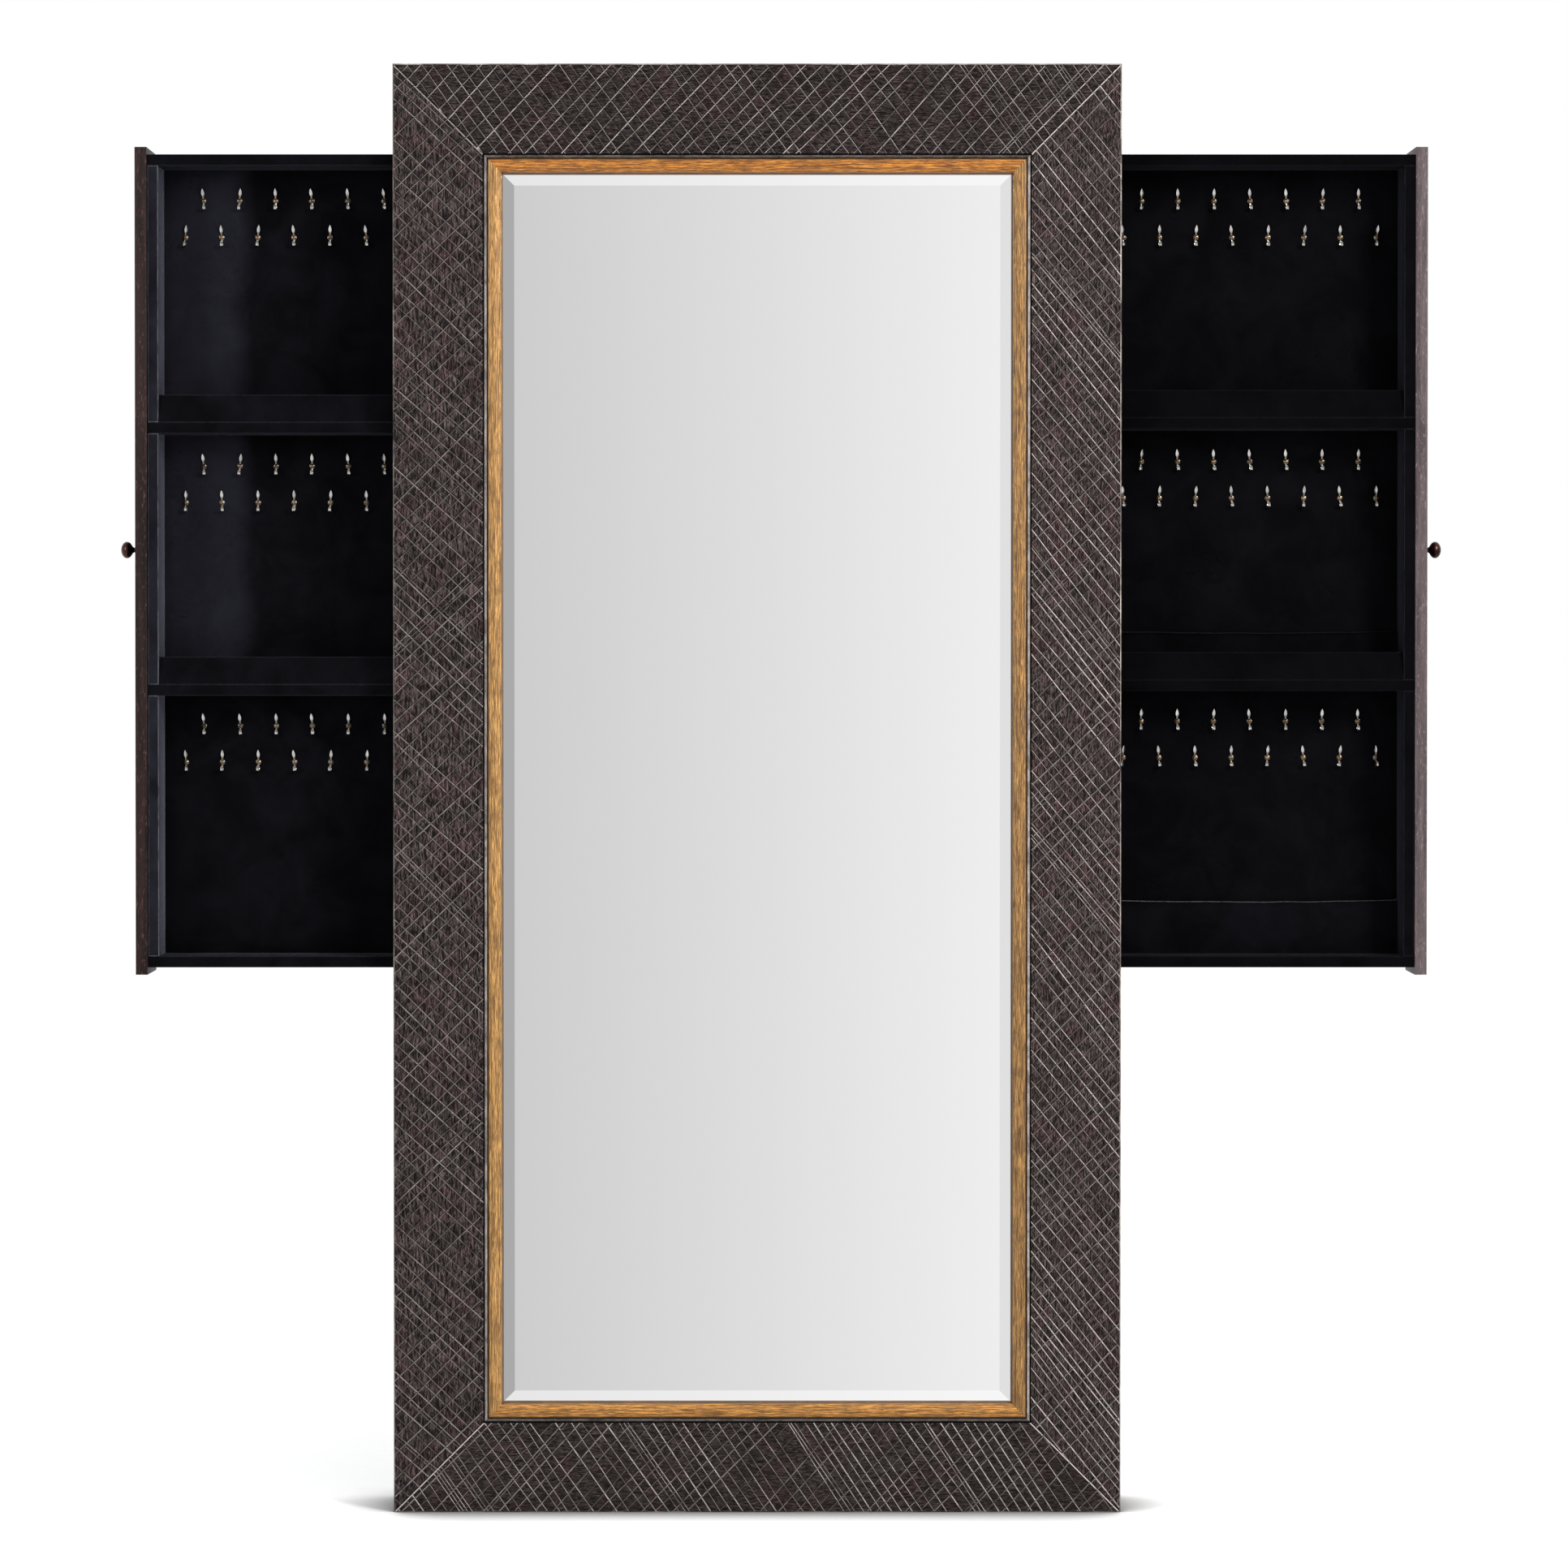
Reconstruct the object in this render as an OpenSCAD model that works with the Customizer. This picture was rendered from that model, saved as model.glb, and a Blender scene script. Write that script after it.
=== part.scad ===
// Floor-standing mirror with two tall jewelry trays that slide out sideways
// from a shallow case behind the glass.
// Millimetres, +Z up, front facing -Y, origin on the floor at the centre of the mirror's base.
// The trays are drawn partly and fully open; the closed position is the frame's own outline.

/* [Frame] */
// Overall width of the carved frame
frame_w = 1100; // [1090:1:1120]
// Overall height of the carved frame
frame_h = 2190; // [2170:1:2240]
// Overall depth, from the frame's face to the back panel
frame_d = 170; // [168:1:200]
// Face width of the carved moulding
moulding_w = 142; // [136:1:150]
// Thickness of the carved moulding
moulding_t = 40; // [38:1:42]
// Visible width of the gold liner
liner_w = 22; // [20:1:24]
// Spacing along the moulding of the carved scores that run the same way
score_pitch = 44; // [40:1:120]
// Angle of the carved scores to the moulding's length
score_angle = 48; // [40:1:55]

/* [Mirror] */
// Thickness of the mirror glass
glass_t = 6; // [5:0.5:6]
// Width of the bevel ground round the glass
bevel_w = 26; // [20:1:30]

/* [Case] */
// Thickness of the case boards
board_t = 18; // [16:1:20]
// Thickness of the back panel
back_t = 12; // [11:1:12]

/* [Trays] */
// How far the left tray is drawn out
left_open = 394; // [0:1:467]
// How far the right tray is drawn out
right_open = 467; // [0:1:467]
// Height of a tray
tray_h = 1234; // [1200:1:1234]
// Height of the underside of a tray above the floor
tray_z = 823; // [823:1:840]
// Clear width inside a tray
tray_inner_w = 467; // [460:1:470]
// Thickness of a tray's boards
tray_board = 17; // [16:1:18]
// Height of the lips along the two shelves
fence_h = 42; // [30:1:50]
// How far a drawer panel overlaps its tray, above and below
panel_overlap = 11; // [10:1:16]

/* [Hooks and knob] */
// Spacing of the necklace hooks along a row
hook_pitch = 55.4; // [50:0.2:56]
// Height of one hook
hook_h = 28; // [26:1:30]
// Diameter of a knob
knob_dia = 25.5; // [22:0.5:30]
// Height of the knobs above the floor
knob_z = 1458; // [1400:1:1500]

/* [Hidden] */
$fn = 48;
eps = 0.01;
LEFT = -1;
RIGHT = 1;
SIDES = [LEFT, RIGHT];

// Depth planes, from the front to the back.
y_front = -frame_d / 2;
y_moulding_back = y_front + moulding_t;
y_back = frame_d / 2;
y_panel_front = y_back - back_t;
slide_t = 13;
y_tray_back = y_panel_front - slide_t;
y_tray_front = y_moulding_back + 5;

// Moulding and liner sections. u runs from the frame's outer edge towards the glass.
arris = 1.8;
field_end = moulding_w - 6.5;
bead_r = 2.4;
bead_drop = 1.7;
rabbet_w = 22;
rabbet_front = y_front + 22;
score_depth_rising = 1.3;
score_depth_falling = 1;
liner_front = y_front + 5;
liner_back = y_front + 28;
liner_lip = 8;
liner_tongue = 10;
sight_x = frame_w / 2 - moulding_w - liner_w;
sight_z = moulding_w + liner_w;

// Glass and backing stand in the liner's own rabbet.
glass_front = y_front + 18;
glass_fit = 0.5;
glass_x = sight_x + liner_lip - glass_fit;
glass_z0 = sight_z - liner_lip + glass_fit;
glass_z1 = frame_h - glass_z0;
bevel_drop = 3;
backing_front = glass_front + glass_t;

// Case. Its boards stop short of the frame's edge, so that a closed drawer panel comes flush with the frame.
panel_t = 18;
panel_gap = 0.5;
case_x = frame_w / 2 - panel_t - panel_gap;
tray_gap = 4;
bay_z0 = tray_z - tray_gap;
bay_z1 = tray_z + tray_h + tray_gap;
post_w = 40;

// Trays, in closed coordinates for the right-hand one.
tray_x1 = frame_w / 2 - panel_t;
tray_x0 = tray_x1 - tray_inner_w - 2 * tray_board;
inner_x0 = tray_x0 + tray_board;
inner_x1 = tray_x1 - tray_board;
tray_top = tray_z + tray_h;
tray_back_t = 6;
y_backboard = y_tray_back - tray_back_t;
lining_t = 3;
y_lining = y_backboard - lining_t;
lap = 20;
fence_t = 8;
fence_lean = 10;
panel_y0 = y_moulding_back + 2;
panel_y1 = y_back - 2;

// Distance from a tray's top to the top of its two shelves; the two trays differ a little.
function shelf_drops(side) = side < 0 ? [406, 804] : [399, 797];
function shelf_top(side, i) = tray_top - shelf_drops(side)[i];
// Underside of the board above, and top of the board below, for compartment i counted from the top.
function ceiling_z(side, i) = i == 0 ? tray_top - tray_board : shelf_top(side, i - 1) - tray_board;
function floor_z(side, i) = i == 2 ? tray_z + tray_board : shelf_top(side, i);

// Hooks. Rows are [drop below the ceiling, distance from the outer side board, count].
hook_rows = [[47, 60.5, 7], [103, 33, 8]];
hook_w = 3.6;
hook_t = 1.4;
hook_reach = 13;
hook_boss_r = 3.7;
hook_screw_r = 0.9;
hook_screw_l = 6.5;
hook_head_r = 2;
hook_head_h = 1.1;
hole_fit = 0.05;

// Chain pockets of the right tray: [compartment, height of the hem above its floor].
pockets = [[1, 75], [2, 83]];
pocket_t = 1.6;
pocket_depth = 12;

// Knob and its screw.
knob_l = 28;
knob_y = (panel_y0 + panel_y1) / 2;
knob_neck_r = 3.6;
knob_waist = 2.5;
knob_neck_l = 9;
knob_belly = 19;
knob_screw_r = 2;
knob_screw_head_r = 4;
knob_screw_head_h = 2.6;
knob_bore = 14;

// Telescopic slides, two to a tray.
slide_l = 460;
slide_x1 = tray_x1 - 2;
slide_x0 = slide_x1 - slide_l;
slide_zs = [tray_z + 110, tray_top - 110];
outer_half = 22.5;
outer_t = 1.2;
outer_reach = 12;
middle_half = 17.6;
middle_t = 1;
middle_y0 = 2;
middle_y1 = 10.6;
inner_half = 13.2;
inner_t = 1.2;
inner_reach = 8.6;

// Small steel parts.
clip_w = 14;
clip_t = 1.5;
clip_foot = 26;
clip_plate = 22;
screw_r = 1.6;
screw_l = 8;
screw_head_r = 3.4;
screw_head_h = 1.4;
clip_z = [330, 700, 1095, 1490, 1860];
clip_x = [-220, 220];
anchor_x = 400;
anchor_z = (bay_z1 + frame_h) / 2;
anchor_w = 64;
anchor_h = 30;
anchor_t = 2;
anchor_recess = 3.6;
anchor_hole_r = 4;
anchor_screw_dx = 22;

// Colours.
ESPRESSO = [0.20, 0.18, 0.17];
GOLD = [0.76, 0.55, 0.29];
SILVERED = [0.82, 0.83, 0.84];
HARDBOARD = [0.42, 0.31, 0.22];
CASE_WOOD = [0.24, 0.18, 0.15];
WALNUT = [0.30, 0.23, 0.20];
VELVET = [0.05, 0.05, 0.06];
STEEL = [0.66, 0.67, 0.69];
BRASS = [0.72, 0.58, 0.34];
BRONZE = [0.25, 0.17, 0.13];

// ---- helpers ----

// A box from its two opposite corners.
module block(low, high) {
    translate(low) cube(high - low);
}

// Extrudes a section drawn in (y, z) along +X.
module along_x(length) {
    rotate([90, 0, 90]) linear_extrude(length) children();
}

// A round bar along +Y.
module rod_y(r, length) {
    rotate([-90, 0, 0]) cylinder(r = r, h = length);
}

// Puts a child drawn as the bottom member, u upwards, on one of the four sides of the frame.
module on_side(name) {
    if (name == "bottom") translate([-frame_w / 2, 0, 0]) children();
    if (name == "top") translate([frame_w / 2, 0, frame_h]) rotate([0, 180, 0]) children();
    if (name == "left") translate([-frame_w / 2, 0, frame_h]) rotate([0, 90, 0]) children();
    if (name == "right") translate([frame_w / 2, 0, 0]) rotate([0, -90, 0]) children();
}

function member_length(name) = name == "left" || name == "right" ? frame_h : frame_w;

// Trapezoid that mitres a member from u0 to u1.
module mitre(length, u0, u1) {
    translate([0, frame_d, 0]) rotate([90, 0, 0]) linear_extrude(2 * frame_d)
        polygon([[u0, u0], [length - u0, u0], [length - u1, u1], [u1, u1]]);
}

// Closed coordinates of the right-hand tray, moved to where the tray of this side stands.
module on_tray(side) {
    open = side == LEFT ? left_open : right_open;
    translate([side * open, 0, 0]) mirror([side == LEFT ? 1 : 0, 0, 0]) children();
}

module on_middle_rail(side) {
    open = side == LEFT ? left_open : right_open;
    translate([side * open / 2, 0, 0]) mirror([side == LEFT ? 1 : 0, 0, 0]) children();
}

// ---- carved frame ----

module moulding_section() {
    difference() {
        union() {
            polygon([
                [y_front, arris], [y_front + arris, 0], [y_moulding_back, 0],
                [y_moulding_back, field_end], [y_front, field_end]
            ]);
            translate([y_front + bead_drop + bead_r, 0])
                square([moulding_t - bead_drop - bead_r, moulding_w]);
            translate([y_front + bead_drop + bead_r, moulding_w - bead_r]) circle(bead_r);
        }
        translate([rabbet_front, moulding_w - rabbet_w]) square([moulding_t, rabbet_w + eps]);
    }
}

// One right-angled V across the face, centred at x along the member.
module score(x, angle, depth) {
    run = moulding_w / sin(abs(angle)) + 40;
    translate([x, y_front, moulding_w / 2]) rotate([0, -angle, 0]) translate([-run / 2, 0, 0])
        along_x(run) polygon([[-eps, -depth], [depth, 0], [-eps, depth]]);
}

// Irregular scores in both directions, as a hand tool leaves them; those that rise are the deeper ones.
module scores(length, seed) {
    count = floor(length / score_pitch);
    shift = rands(-0.22, 0.22, 2 * count, seed);
    turn = rands(-4, 4, 2 * count, seed + 1);
    for (i = [0 : count - 1]) {
        score((i + 0.5 + shift[i]) * length / count, score_angle + turn[i], score_depth_rising);
        score((i + shift[count + i] + 1) * length / count, -score_angle + turn[count + i], score_depth_falling);
    }
}

// Centres of the retainer clips along a member.
function clip_places(name) =
    name == "left" ? [for (z = clip_z) frame_h - z] :
    name == "right" ? clip_z :
    [for (x = clip_x) frame_w / 2 + x];

clip_screw_u = moulding_w - rabbet_w - clip_plate / 2 - 1;

module moulding(name, seed) {
    length = member_length(name);
    color(ESPRESSO) on_side(name) difference() {
        intersection() {
            along_x(length) moulding_section();
            mitre(length, 0, moulding_w);
        }
        scores(length, seed);
        for (x = clip_places(name))
            translate([x, y_moulding_back - screw_l + clip_t - eps, clip_screw_u])
                rod_y(screw_r + hole_fit, screw_l);
    }
}

// ---- gold liner, glass and backing ----

module liner_section() {
    crown = 3;
    difference() {
        union() {
            translate([liner_front + crown, moulding_w]) square([liner_back - liner_front - crown, liner_w]);
            translate([liner_front, moulding_w + crown]) square([crown + eps, liner_w - 2 * crown]);
            for (u = [crown, liner_w - crown])
                translate([liner_front + crown, moulding_w + u]) circle(crown);
            translate([rabbet_front, moulding_w - liner_tongue])
                square([liner_back - rabbet_front, liner_tongue + eps]);
        }
        translate([glass_front, moulding_w + liner_w - liner_lip]) square([moulding_t, liner_lip + eps]);
    }
}

module liner(name) {
    length = member_length(name);
    color(GOLD) on_side(name) intersection() {
        along_x(length) liner_section();
        mitre(length, moulding_w - liner_tongue, moulding_w + liner_w);
    }
}

// One side of the bevel: a wedge cut from the face along the edge at z = 0, over a length centred on x = 0.
module bevel_cut(length) {
    translate([-length / 2, 0, 0]) along_x(length)
        polygon([[-1, -1], [bevel_drop, -1], [bevel_drop, 0], [0, bevel_w], [-1, bevel_w]]);
}

module mirror_glass() {
    glass_w = 2 * glass_x;
    glass_h = glass_z1 - glass_z0;
    mid_z = (glass_z0 + glass_z1) / 2;
    color(SILVERED) difference() {
        block([-glass_x, glass_front, glass_z0], [glass_x, glass_front + glass_t, glass_z1]);
        for (turn = [0, 180])
            translate([0, glass_front, mid_z]) rotate([0, turn, 0])
                translate([0, 0, -glass_h / 2]) bevel_cut(glass_w + 2);
        for (turn = [90, -90])
            translate([0, glass_front, mid_z]) rotate([0, turn, 0])
                translate([0, 0, -glass_w / 2]) bevel_cut(glass_h + 2);
    }
}

module mirror_backing() {
    color(HARDBOARD) block([-glass_x, backing_front, glass_z0], [glass_x, liner_back, glass_z1]);
}

// ---- retainer clips, wood screws and wall anchors ----

// Offset clip, drawn for the bottom member: the foot bears on the backing, the plate on the moulding.
module clip(x) {
    foot_u = moulding_w + clip_foot;
    step_u = moulding_w;
    plate_u = moulding_w - rabbet_w;
    color(STEEL) translate([x - clip_w / 2, 0, 0]) difference() {
        along_x(clip_w) polygon([
            [liner_back, foot_u], [liner_back, step_u], [y_moulding_back, plate_u],
            [y_moulding_back, plate_u - clip_plate], [y_moulding_back + clip_t, plate_u - clip_plate],
            [y_moulding_back + clip_t, plate_u + 1],
            [liner_back + clip_t, step_u + 1], [liner_back + clip_t, foot_u]
        ]);
        translate([clip_w / 2, y_moulding_back - 1, clip_screw_u]) rod_y(screw_r + hole_fit, clip_t + 2);
    }
}

module retainer_clips() {
    for (name = ["left", "right", "top", "bottom"])
        on_side(name) for (x = clip_places(name)) clip(x);
}

// Pan-head wood screw whose head bears at the origin, the shank pointing to -Y.
module wood_screw() {
    color(STEEL) difference() {
        union() {
            translate([0, -screw_l, 0]) rod_y(screw_r, screw_l + eps);
            rod_y(screw_head_r, screw_head_h);
        }
        for (turn = [0, 90]) translate([0, screw_head_h, 0]) rotate([0, turn, 0])
            cube([3.6, 1.4, 0.8], center = true);
    }
}

anchor_face = y_back - anchor_recess + anchor_t;

module wood_screws() {
    for (name = ["left", "right", "top", "bottom"])
        on_side(name) for (x = clip_places(name))
            translate([x, y_moulding_back + clip_t, clip_screw_u]) wood_screw();
    for (side = SIDES, dx = [-anchor_screw_dx, anchor_screw_dx])
        translate([side * anchor_x + dx, anchor_face, anchor_z]) wood_screw();
}

module wall_anchor_plates() {
    color(STEEL) for (side = SIDES)
        translate([side * anchor_x, y_back - anchor_recess, anchor_z]) difference() {
        block([-anchor_w / 2, 0, -anchor_h / 2], [anchor_w / 2, anchor_t, anchor_h / 2]);
        translate([0, -1, 0]) rod_y(anchor_hole_r, anchor_t + 2);
        for (dx = [-anchor_screw_dx, anchor_screw_dx])
            translate([dx, -1, 0]) rod_y(screw_r + hole_fit, anchor_t + 2);
    }
}

// ---- case ----

module case_top() {
    color(CASE_WOOD) block([-case_x, y_moulding_back, frame_h - board_t], [case_x, y_panel_front, frame_h]);
}

module case_bottom() {
    color(CASE_WOOD) block([-case_x, y_moulding_back, 0], [case_x, y_panel_front, board_t]);
}

module case_side(side, z0, z1) {
    low = side == LEFT ? -case_x : case_x - board_t;
    color(CASE_WOOD) block([low, y_moulding_back, z0], [low + board_t, y_panel_front, z1]);
}

// A divider board, set back from the moulding to clear the clips.
module case_divider(z0) {
    inner_x = case_x - board_t;
    color(CASE_WOOD) block([-inner_x, y_tray_front, z0], [inner_x, y_panel_front, z0 + board_t]);
}

module centre_post() {
    color(CASE_WOOD) block([-post_w / 2, y_moulding_back, bay_z0], [post_w / 2, y_panel_front, bay_z1]);
}

module back_panel() {
    fit = 0.3;
    color(CASE_WOOD) difference() {
        block([-case_x, y_panel_front, 0], [case_x, y_back, frame_h]);
        for (side = SIDES) translate([side * anchor_x, y_back, anchor_z]) {
            block([-anchor_w / 2 - fit, -anchor_recess, -anchor_h / 2 - fit],
                [anchor_w / 2 + fit, 1, anchor_h / 2 + fit]);
            translate([0, -back_t - 1, 0]) rod_y(anchor_hole_r + 2, back_t);
            for (dx = [-anchor_screw_dx, anchor_screw_dx])
                translate([dx, -anchor_recess - screw_l + anchor_t - eps, 0])
                    rod_y(screw_r + hole_fit, screw_l);
        }
    }
}

// ---- telescopic slides ----

// The three rails are channels drawn in (y, z), with y counted from the tray's back towards the back panel.
module outer_section() {
    difference() {
        translate([slide_t - outer_reach, -outer_half]) square([outer_reach, 2 * outer_half]);
        translate([slide_t - outer_reach - 1, -outer_half + outer_t])
            square([outer_reach + 1 - outer_t, 2 * (outer_half - outer_t)]);
    }
}

module middle_section() {
    difference() {
        translate([middle_y0, -middle_half]) square([middle_y1 - middle_y0, 2 * middle_half]);
        translate([middle_y0 - 1, -middle_half + middle_t])
            square([middle_y1 - middle_y0 + 1 - middle_t, 2 * (middle_half - middle_t)]);
    }
}

module inner_section() {
    difference() {
        translate([0, -inner_half]) square([inner_reach, 2 * inner_half]);
        translate([inner_t, -inner_half + inner_t]) square([inner_reach, 2 * (inner_half - inner_t)]);
    }
}

module rail_pair() {
    color(STEEL) for (z = slide_zs)
        translate([slide_x0, y_tray_back, z]) along_x(slide_l) children();
}

module slide_outer_rails() {
    for (side = SIDES) mirror([side == LEFT ? 1 : 0, 0, 0]) rail_pair() outer_section();
}

module slide_middle_rails(side) {
    on_middle_rail(side) rail_pair() middle_section();
}

module slide_inner_rails(side) {
    on_tray(side) rail_pair() inner_section();
}

// ---- trays ----

module front_panel(side) {
    on_tray(side) color(WALNUT) difference() {
        block([tray_x1, panel_y0, tray_z - panel_overlap], [frame_w / 2, panel_y1, tray_top + panel_overlap]);
        translate([tray_x1 - 1, knob_y, knob_z]) rotate([0, 90, 0]) {
            cylinder(r = knob_screw_r + hole_fit, h = panel_t + 2);
            cylinder(r = knob_screw_head_r + 0.5, h = 1 + knob_screw_head_h + 0.4);
        }
    }
}

module tray_plate(z0) {
    color(VELVET) block([tray_x0, y_tray_front, z0], [tray_x1, y_backboard, z0 + tray_board]);
}

module tray_top_board(side) {
    on_tray(side) tray_plate(tray_top - tray_board);
}

module tray_bottom_board(side) {
    on_tray(side) tray_plate(tray_z);
}

// A side board, let into the front of each shelf's end by a half lap.
module tray_side_board(side, x0) {
    on_tray(side) color(VELVET) difference() {
        block([x0, y_tray_front, tray_z + tray_board], [x0 + tray_board, y_backboard, tray_top - tray_board]);
        for (i = [0, 1])
            block([x0 - 1, y_tray_front - 1, shelf_top(side, i) - tray_board],
                  [x0 + tray_board + 1, y_tray_front + lap, shelf_top(side, i)]);
    }
}

module tray_backboard(side) {
    on_tray(side) color(VELVET) difference() {
        block([tray_x0, y_backboard, tray_z], [tray_x1, y_tray_back, tray_top]);
        at_hooks(side) translate([0, lining_t - eps, 0])
            rod_y(hook_screw_r + hole_fit, hook_screw_l - lining_t - hook_t + 0.2);
    }
}

module shelf(side, i) {
    top = shelf_top(side, i);
    on_tray(side) color(VELVET) {
        block([inner_x0, y_tray_front, top - tray_board], [inner_x1, y_backboard, top]);
        block([tray_x0, y_tray_front, top - tray_board], [tray_x1, y_tray_front + lap, top]);
    }
}

// A lip on a shelf's front edge, leaning back.
module fence(side, i) {
    on_tray(side) color(VELVET) translate([inner_x0, y_tray_front, shelf_top(side, i)])
        along_x(tray_inner_w) polygon([
            [0, 0], [fence_t, 0], [fence_t + fence_lean, fence_h], [fence_lean, fence_h]
        ]);
}

// Padded lining on the backboard, one pad to a compartment.
module lining(side) {
    on_tray(side) color(VELVET) for (i = [0 : 2]) difference() {
        block([inner_x0, y_lining, floor_z(side, i)], [inner_x1, y_backboard, ceiling_z(side, i)]);
        hook_row_places(side, i) translate([0, -1, 0]) rod_y(hook_screw_r + hole_fit, lining_t + 2);
    }
}

// Puts children at the hooks of one compartment, on the face of the lining.
module hook_row_places(side, i) {
    for (row = hook_rows, k = [0 : row[2] - 1])
        translate([inner_x1 - row[1] - k * hook_pitch, y_lining, ceiling_z(side, i) - row[0]]) children();
}

module at_hooks(side) {
    for (i = [0 : 2]) hook_row_places(side, i) children();
}

// Half a ring, drawn in (y, z).
module half_ring(r, upper) {
    difference() {
        circle(r, $fn = 32);
        circle(r - hook_t, $fn = 32);
        translate([-2 * r, upper ? -2 * r : 0]) square([4 * r, 2 * r]);
    }
}

// Double hook: a plate with an upper prong that leans out and a lower one that turns up.
module hook() {
    half = hook_h / 2;
    low_r = hook_reach / 2;
    prong = [hook_reach * 0.55, half];
    color(BRONZE) difference() {
        union() {
            translate([-hook_w / 2, 0, 0]) along_x(hook_w) {
                translate([-hook_t, -half + low_r]) square([hook_t, half - low_r + 5]);
                translate([-low_r, -half + low_r]) half_ring(low_r, false);
                translate([-hook_reach, -half + low_r]) square([hook_t, 3.5]);
                polygon([[0, 4], [-hook_t, 4.5], [-prong[0], prong[1]], [-prong[0] + hook_t, prong[1]]]);
            }
            translate([0, -hook_t, 0]) rod_y(hook_boss_r, hook_t);
        }
        translate([0, -hook_t - 1, 0]) rod_y(hook_screw_r + hole_fit, hook_t + 2);
    }
}

module hooks(side) {
    on_tray(side) at_hooks(side) hook();
}

module hook_screws(side) {
    on_tray(side) at_hooks(side) color(BRASS) translate([0, -hook_t, 0]) {
        translate([0, -eps, 0]) rod_y(hook_screw_r, hook_screw_l);
        translate([0, -hook_head_h, 0]) rod_y(hook_head_r, hook_head_h);
    }
}

// Ball knob, turned about X: a flared foot, a slim neck and a slightly flattened ball.
module knob(side) {
    belly_r = knob_dia / 2;
    dome = knob_l - knob_belly;
    neck_steps = 8;
    dome_steps = 10;
    neck = [for (i = [0 : neck_steps])
        let (a = 90 * i / neck_steps)
        [knob_neck_r + (belly_r - knob_neck_r) * sin(a), knob_belly - (knob_belly - knob_neck_l) * cos(a)]];
    cap = [for (i = [1 : dome_steps - 1])
        let (a = 90 * i / dome_steps)
        [belly_r * cos(a), knob_belly + dome * sin(a)]];
    on_tray(side) color(BRONZE) translate([frame_w / 2, knob_y, knob_z]) rotate([0, 90, 0]) difference() {
        rotate_extrude()
            polygon(concat([[0, 0], [knob_neck_r + 1, 0], [knob_neck_r, knob_waist]], neck, cap, [[0, knob_l]]));
        translate([0, 0, -1]) cylinder(r = knob_screw_r + hole_fit, h = knob_bore + 1);
    }
}

module knob_screw(side) {
    head_x = tray_x1 + 0.2;
    on_tray(side) color(STEEL) translate([head_x, knob_y, knob_z]) rotate([0, 90, 0]) difference() {
        union() {
            cylinder(r = knob_screw_head_r, h = knob_screw_head_h);
            cylinder(r = knob_screw_r, h = panel_t + knob_bore - 1);
        }
        for (turn = [0, 90]) rotate([0, 0, turn]) cube([4.8, 1.1, 2.4], center = true);
    }
}

// Chain pockets: a panel of velvet held off the lining by a return at each end.
module chain_pockets(side) {
    on_tray(side) color(VELVET) for (pocket = pockets) {
        z0 = floor_z(side, pocket[0]);
        difference() {
            block([inner_x0, y_lining - pocket_depth, z0], [inner_x1, y_lining, z0 + pocket[1]]);
            block([inner_x0 + pocket_t, y_lining - pocket_depth + pocket_t, z0 - 1],
                  [inner_x1 - pocket_t, y_lining + 1, z0 + pocket[1] + 1]);
        }
    }
}

// ---- the object ----

moulding("left", 11);  // frame_stile_left
moulding("right", 23);  // frame_stile_right
moulding("top", 37);  // frame_rail_top
moulding("bottom", 41);  // frame_rail_bottom
liner("left");  // liner_left
liner("right");  // liner_right
liner("top");  // liner_top
liner("bottom");  // liner_bottom
mirror_glass();
mirror_backing();
retainer_clips();
wood_screws();
case_top();
case_bottom();
case_side(LEFT, board_t, bay_z0);  // case_side_left_lower
case_side(RIGHT, board_t, bay_z0);  // case_side_right_lower
case_side(LEFT, bay_z1, frame_h - board_t);  // case_side_left_upper
case_side(RIGHT, bay_z1, frame_h - board_t);  // case_side_right_upper
case_divider(bay_z0 - board_t);  // case_divider_lower
case_divider(bay_z1);  // case_divider_upper
centre_post();
back_panel();
slide_outer_rails();
wall_anchor_plates();
slide_middle_rails(LEFT);  // left_slide_middle_rails
slide_middle_rails(RIGHT);  // right_slide_middle_rails
front_panel(LEFT);  // left_front_panel
tray_top_board(LEFT);  // left_tray_top
tray_bottom_board(LEFT);  // left_tray_bottom
tray_side_board(LEFT, inner_x1);  // left_tray_side_outer
tray_side_board(LEFT, tray_x0);  // left_tray_side_inner
tray_backboard(LEFT);  // left_tray_back
shelf(LEFT, 0);  // left_shelf_upper
shelf(LEFT, 1);  // left_shelf_lower
fence(LEFT, 0);  // left_fence_upper
fence(LEFT, 1);  // left_fence_lower
lining(LEFT);  // left_lining
hooks(LEFT);  // left_hooks
hook_screws(LEFT);  // left_hook_screws
knob(LEFT);  // left_knob
knob_screw(LEFT);  // left_knob_screw
slide_inner_rails(LEFT);  // left_slide_inner_rails
front_panel(RIGHT);  // right_front_panel
tray_top_board(RIGHT);  // right_tray_top
tray_bottom_board(RIGHT);  // right_tray_bottom
tray_side_board(RIGHT, inner_x1);  // right_tray_side_outer
tray_side_board(RIGHT, tray_x0);  // right_tray_side_inner
tray_backboard(RIGHT);  // right_tray_back
shelf(RIGHT, 0);  // right_shelf_upper
shelf(RIGHT, 1);  // right_shelf_lower
fence(RIGHT, 0);  // right_fence_upper
fence(RIGHT, 1);  // right_fence_lower
lining(RIGHT);  // right_lining
hooks(RIGHT);  // right_hooks
hook_screws(RIGHT);  // right_hook_screws
knob(RIGHT);  // right_knob
knob_screw(RIGHT);  // right_knob_screw
slide_inner_rails(RIGHT);  // right_slide_inner_rails
chain_pockets(RIGHT);  // right_chain_pockets
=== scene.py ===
import bisect
import math
import random

import bmesh
import bpy
import numpy as np
from mathutils import Euler, Matrix, Vector, noise


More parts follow.
